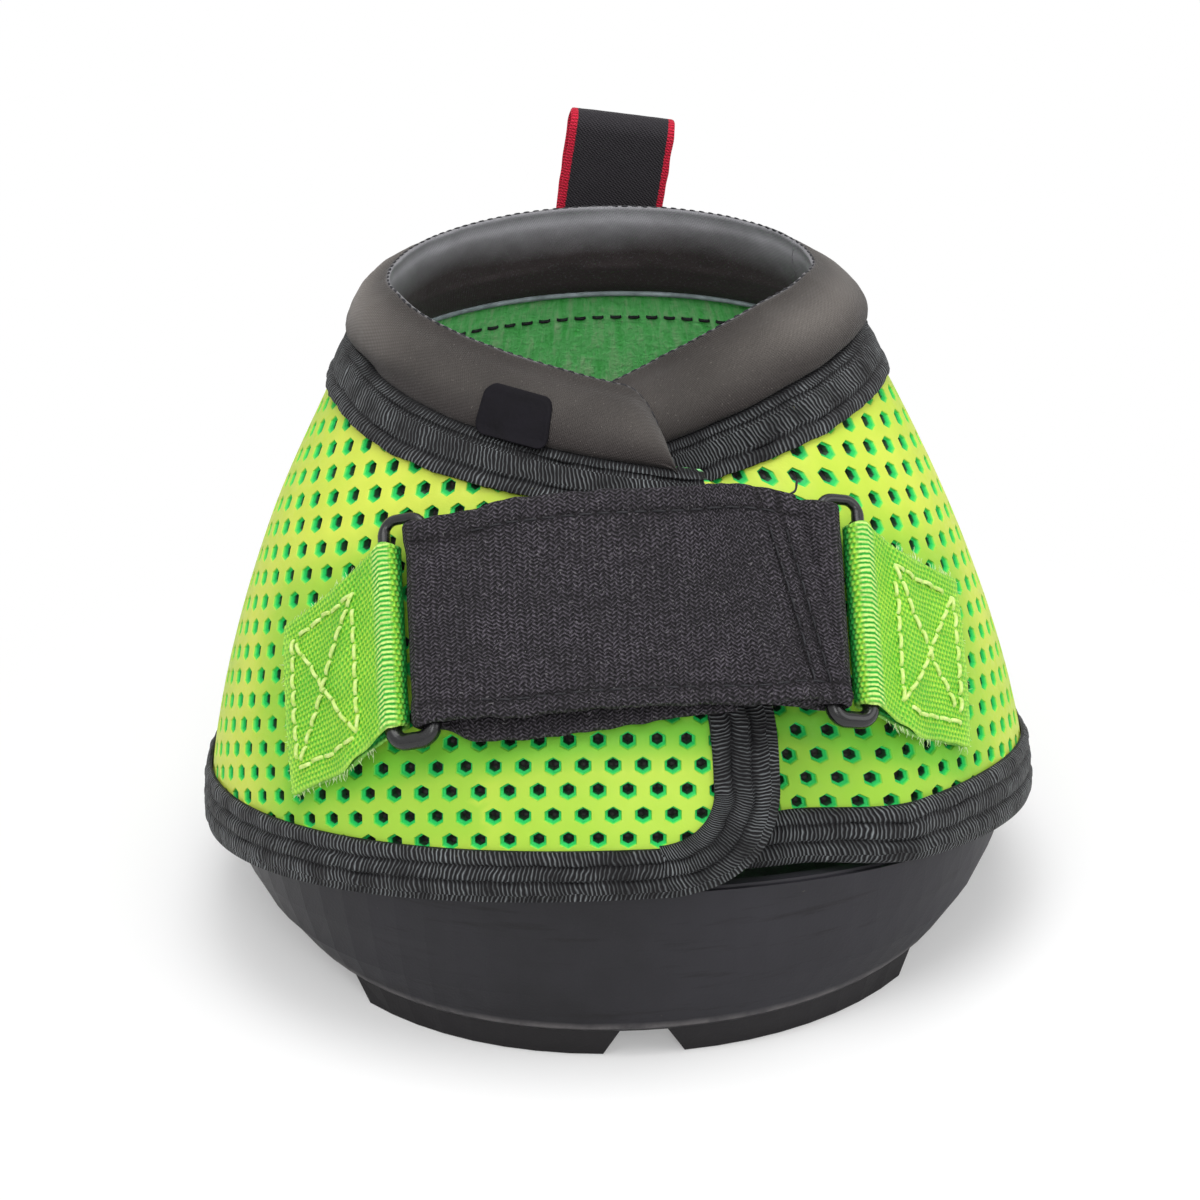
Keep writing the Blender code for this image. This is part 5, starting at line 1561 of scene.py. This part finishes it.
def pullPoint(along, up, lift):
    foot = pullRoot(up)
    low = (pull["length"] - pull["gap"] / 2 - pull["tape"]) * pull["rows"][0]
    loose = smooth(lift / low)
    foot.y += (pullRoot(0).y - foot.y) * loose
    foot.z -= up * math.sin(pull["lean"]) * loose
    return foot + Vector((lift * math.sin(pull["lean"]), along, lift * math.cos(pull["lean"])))


def pullPath():
    half = pull["gap"] / 2 + pull["tape"] / 2
    rise = pull["length"] - half - pull["tape"] / 2
    low, high = (rise * share for share in pull["rows"])
    path = refined([(0, 0), (0, low), (0, high), (0, rise)])
    for step in range(1, 14):
        turn = math.pi - math.pi * step / 14
        path.append((half + half * math.cos(turn), rise + half * math.sin(turn)))
    return path + refined([(2 * half, rise), (2 * half, high), (half, low), (pull["tape"] + boot["gap"], 0)])


pullLoop = bandPiece("pull_loop_tape", pullPath(), pull["width"], pull["tape"], pullPoint, finishes["twill"],
                     lambda travelled, up, side: ripple(0.00008, travelled * 300, up * 300, 1.0),
                     0.0002, across=20)
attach(pullLoop, "pull_loop")
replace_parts(pullLoop, "pull_loop")
print("strap, rings, webbing and pull loop made")


# Blank patch on the collar

patch = {"angle": math.radians(-27), "wide": 0.0150, "low": 0.0006, "high": 0.0098, "thick": 0.0010,
         "corner": 0.0022, "rows": 20}


def collarPatch():
    # Runs up over the band's top and the collar's foot, with rounded corners and a raised rim.
    bulge = bulgeAt(patch["angle"])
    profile = [(-0.0060, boot["gap"] * 2 + boot["binding"])]
    profile += [(up * collarSize["height"], out * bulge + boot["gap"] * 2) for up, out in collarSize["outer"][1:]]
    profile = curveThrough([Vector(pair) for pair in profile], 8)
    lengths = [0.0]
    for before, after in zip(profile, profile[1:]):
        lengths.append(lengths[-1] + (after - before).length)
    start = next(place for place, spot in zip(lengths, profile) if spot.x > 0)

    def at(reach):
        wanted = start + reach
        for place in range(len(profile) - 1):
            if lengths[place + 1] >= wanted:
                break
        share = clamped((wanted - lengths[place]) / (lengths[place + 1] - lengths[place]))
        return profile[place].lerp(profile[place + 1], share)

    wide, rows = patch["wide"], patch["rows"]
    middle, tall = (patch["low"] + patch["high"]) / 2, (patch["high"] - patch["low"]) / 2
    loops = ((0.0, 0.15), (0.0, 0.75), (0.00025, 1.0), (0.0008, 1.0), (0.0011, 0.86), (0.0030, 0.86))
    points, outline = [], []
    for corner in range(4):
        for step in range(rows // 2):
            turn = math.pi / 2 * (corner + step / (rows // 2 - 1))
            outline.append((math.cos(turn), math.sin(turn), corner))

    def place(x, y, lift):
        up, out = at(y)
        angle = patch["angle"] + x / (boot["ringSide"] * 0.92)
        return outerPoint(angle, 1 + up / slant(angle), out + lift)

    for inset, lift in loops:
        for cosine, sine, corner in outline:
            radius = max(patch["corner"] - inset, 0.0003)
            centreX = (wide / 2 - patch["corner"]) * (1 if corner in (0, 3) else -1)
            centreY = (tall - patch["corner"]) * (1 if corner in (0, 1) else -1)
            points.append(place(centreX + cosine * radius, middle + centreY + sine * radius, patch["thick"] * lift))
    count = len(outline)
    faces = stacked(count, len(loops))
    faces.append(tuple(range(len(points) - count, len(points))))
    faces.append(tuple(range(count - 1, -1, -1)))
    piece = makePiece("blank_collar_patch", points, faces, finishes["patch"], sharp=40)
    fixFaces(piece, triangles=True)
    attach(piece, "outer_flap")
    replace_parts(piece, "collar_patch")


collarPatch()

# Hook and loop pieces under the flaps and in the strap

closure = {"low": 0.20, "high": 0.52, "first": math.radians(-14), "last": math.radians(11), "thick": 0.0012,
           "corner": 0.0040, "rows": 24, "steps": 40, "pile": 0.00010}


def closurePatch(name, surface, foot, direction, node, body):
    sections = []
    wide = (closure["last"] - closure["first"]) * girth(0.36)
    tall = (closure["high"] - closure["low"]) * slant(0)
    for step in range(closure["steps"] + 1):
        part = step / closure["steps"]
        angle = closure["first"] + (closure["last"] - closure["first"]) * part
        rest = max(closure["corner"] - wide * min(part, 1 - part), 0.0)
        inset = (closure["corner"] - math.sqrt(closure["corner"] ** 2 - rest ** 2)) / tall
        section = []
        for side in (0, 1):
            for row in range(closure["rows"] + 1):
                reach = row / closure["rows"] if side else 1 - row / closure["rows"]
                share = closure["low"] + (closure["high"] - closure["low"]) * (inset + (1 - 2 * inset) * reach)
                edge = min(reach, 1 - reach, part, 1 - part)
                high = closure["thick"] * (0.55 + 0.45 * smooth(edge / 0.04)) if side else 0.0
                if side and edge > 0.02:
                    high += ripple(closure["pile"], angle * 120, share * 90, 3.0)
                section.append(surface(angle, share, foot + direction * high))
        sections.append(section)
    piece = sweep(name, sections, finishes["pile"], sharp=50)
    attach(piece, body)
    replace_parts(piece, node)


closurePatch("outer_flap_loop_pile", outerPoint, -layers - boot["gap"], -1, "outer_flap_loop_patch", "outer_flap")
closurePatch("inner_flap_hook_pile", innerPoint, boot["gap"], 1, "inner_flap_hook_patch", "inner_flap")

padLift = (underLift + topLift) / 2
padPath = refined([(band["padEnd"] - band["padLength"], padLift), (band["padEnd"], padLift)])
strapPad = bandPiece("strap_hook_pile", padPath, band["padWidth"], band["pad"],
                     lambda along, up, lift: onSkin(*strapPlace(along, up), lift), finishes["pile"],
                     lambda travelled, up, side: ripple(0.00010, travelled * 700, up * 700, 6.0), 0.0002)
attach(strapPad, "strap")
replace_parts(strapPad, "strap_hook_pad")


# Footbed: crowned foam pad with a rounded edge and a pressed border

foam = {"side": 0.0662, "end": 0.0688, "inside": 0.0060, "low": 0.0098, "thick": 0.0030, "crown": 0.0007,
        "edge": 0.0016, "border": 0.0075, "groove": 0.0005, "steps": 120, "rings": 36, "reach": 0.052, "rough": 0.00012}


def footbedPiece():
    points, steps = [], foam["steps"]
    loops = [(0.0012, 0.0), (0.0, 0.0009)]
    for part in range(5):
        turn = math.pi / 2 * part / 4
        loops.append((foam["edge"] * (1 - math.cos(turn)), foam["thick"] - foam["edge"] * (1 - math.sin(turn))))
    first = foam["edge"]
    for part in range(1, foam["rings"]):
        inset = first + (foam["reach"] - first) * (part / foam["rings"]) ** 1.4
        high = foam["thick"] + foam["crown"] * smooth(inset / 0.040)
        high -= foam["groove"] * bell(inset - foam["border"], 0.0006)
        loops.append((inset, high))
    for inset, high in loops:
        for step in range(steps):
            angle = math.tau * step / steps
            radius = oval(angle, foam["side"], foam["end"], foam["end"], boot["power"]) - foam["inside"] - inset
            lump = 0
            if inset > 0.002:
                lump = ripple(foam["rough"], math.cos(angle) * radius * 60, math.sin(angle) * radius * 60, 1.0)
            points.append(outward(angle) * radius + Vector((0, 0, foam["low"] + high + lump)))
    faces = stacked(steps, len(loops))
    for loop, high in ((0, 0.0), (len(loops) - 1, foam["thick"] + foam["crown"])):
        points.append(Vector((0, 0, foam["low"] + high)))
        for step in range(steps):
            faces.append((loop * steps + step, loop * steps + (step + 1) % steps, len(points) - 1))
    piece = makePiece("footbed_pad", points, faces, finishes["foam"], sharp=50)
    fixFaces(piece)
    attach(piece, "boot_base")
    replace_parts(piece, "footbed")


footbedPiece()
frame["nodes"]["sole_cup"].material_slots[0].material = finishes["rubber"]
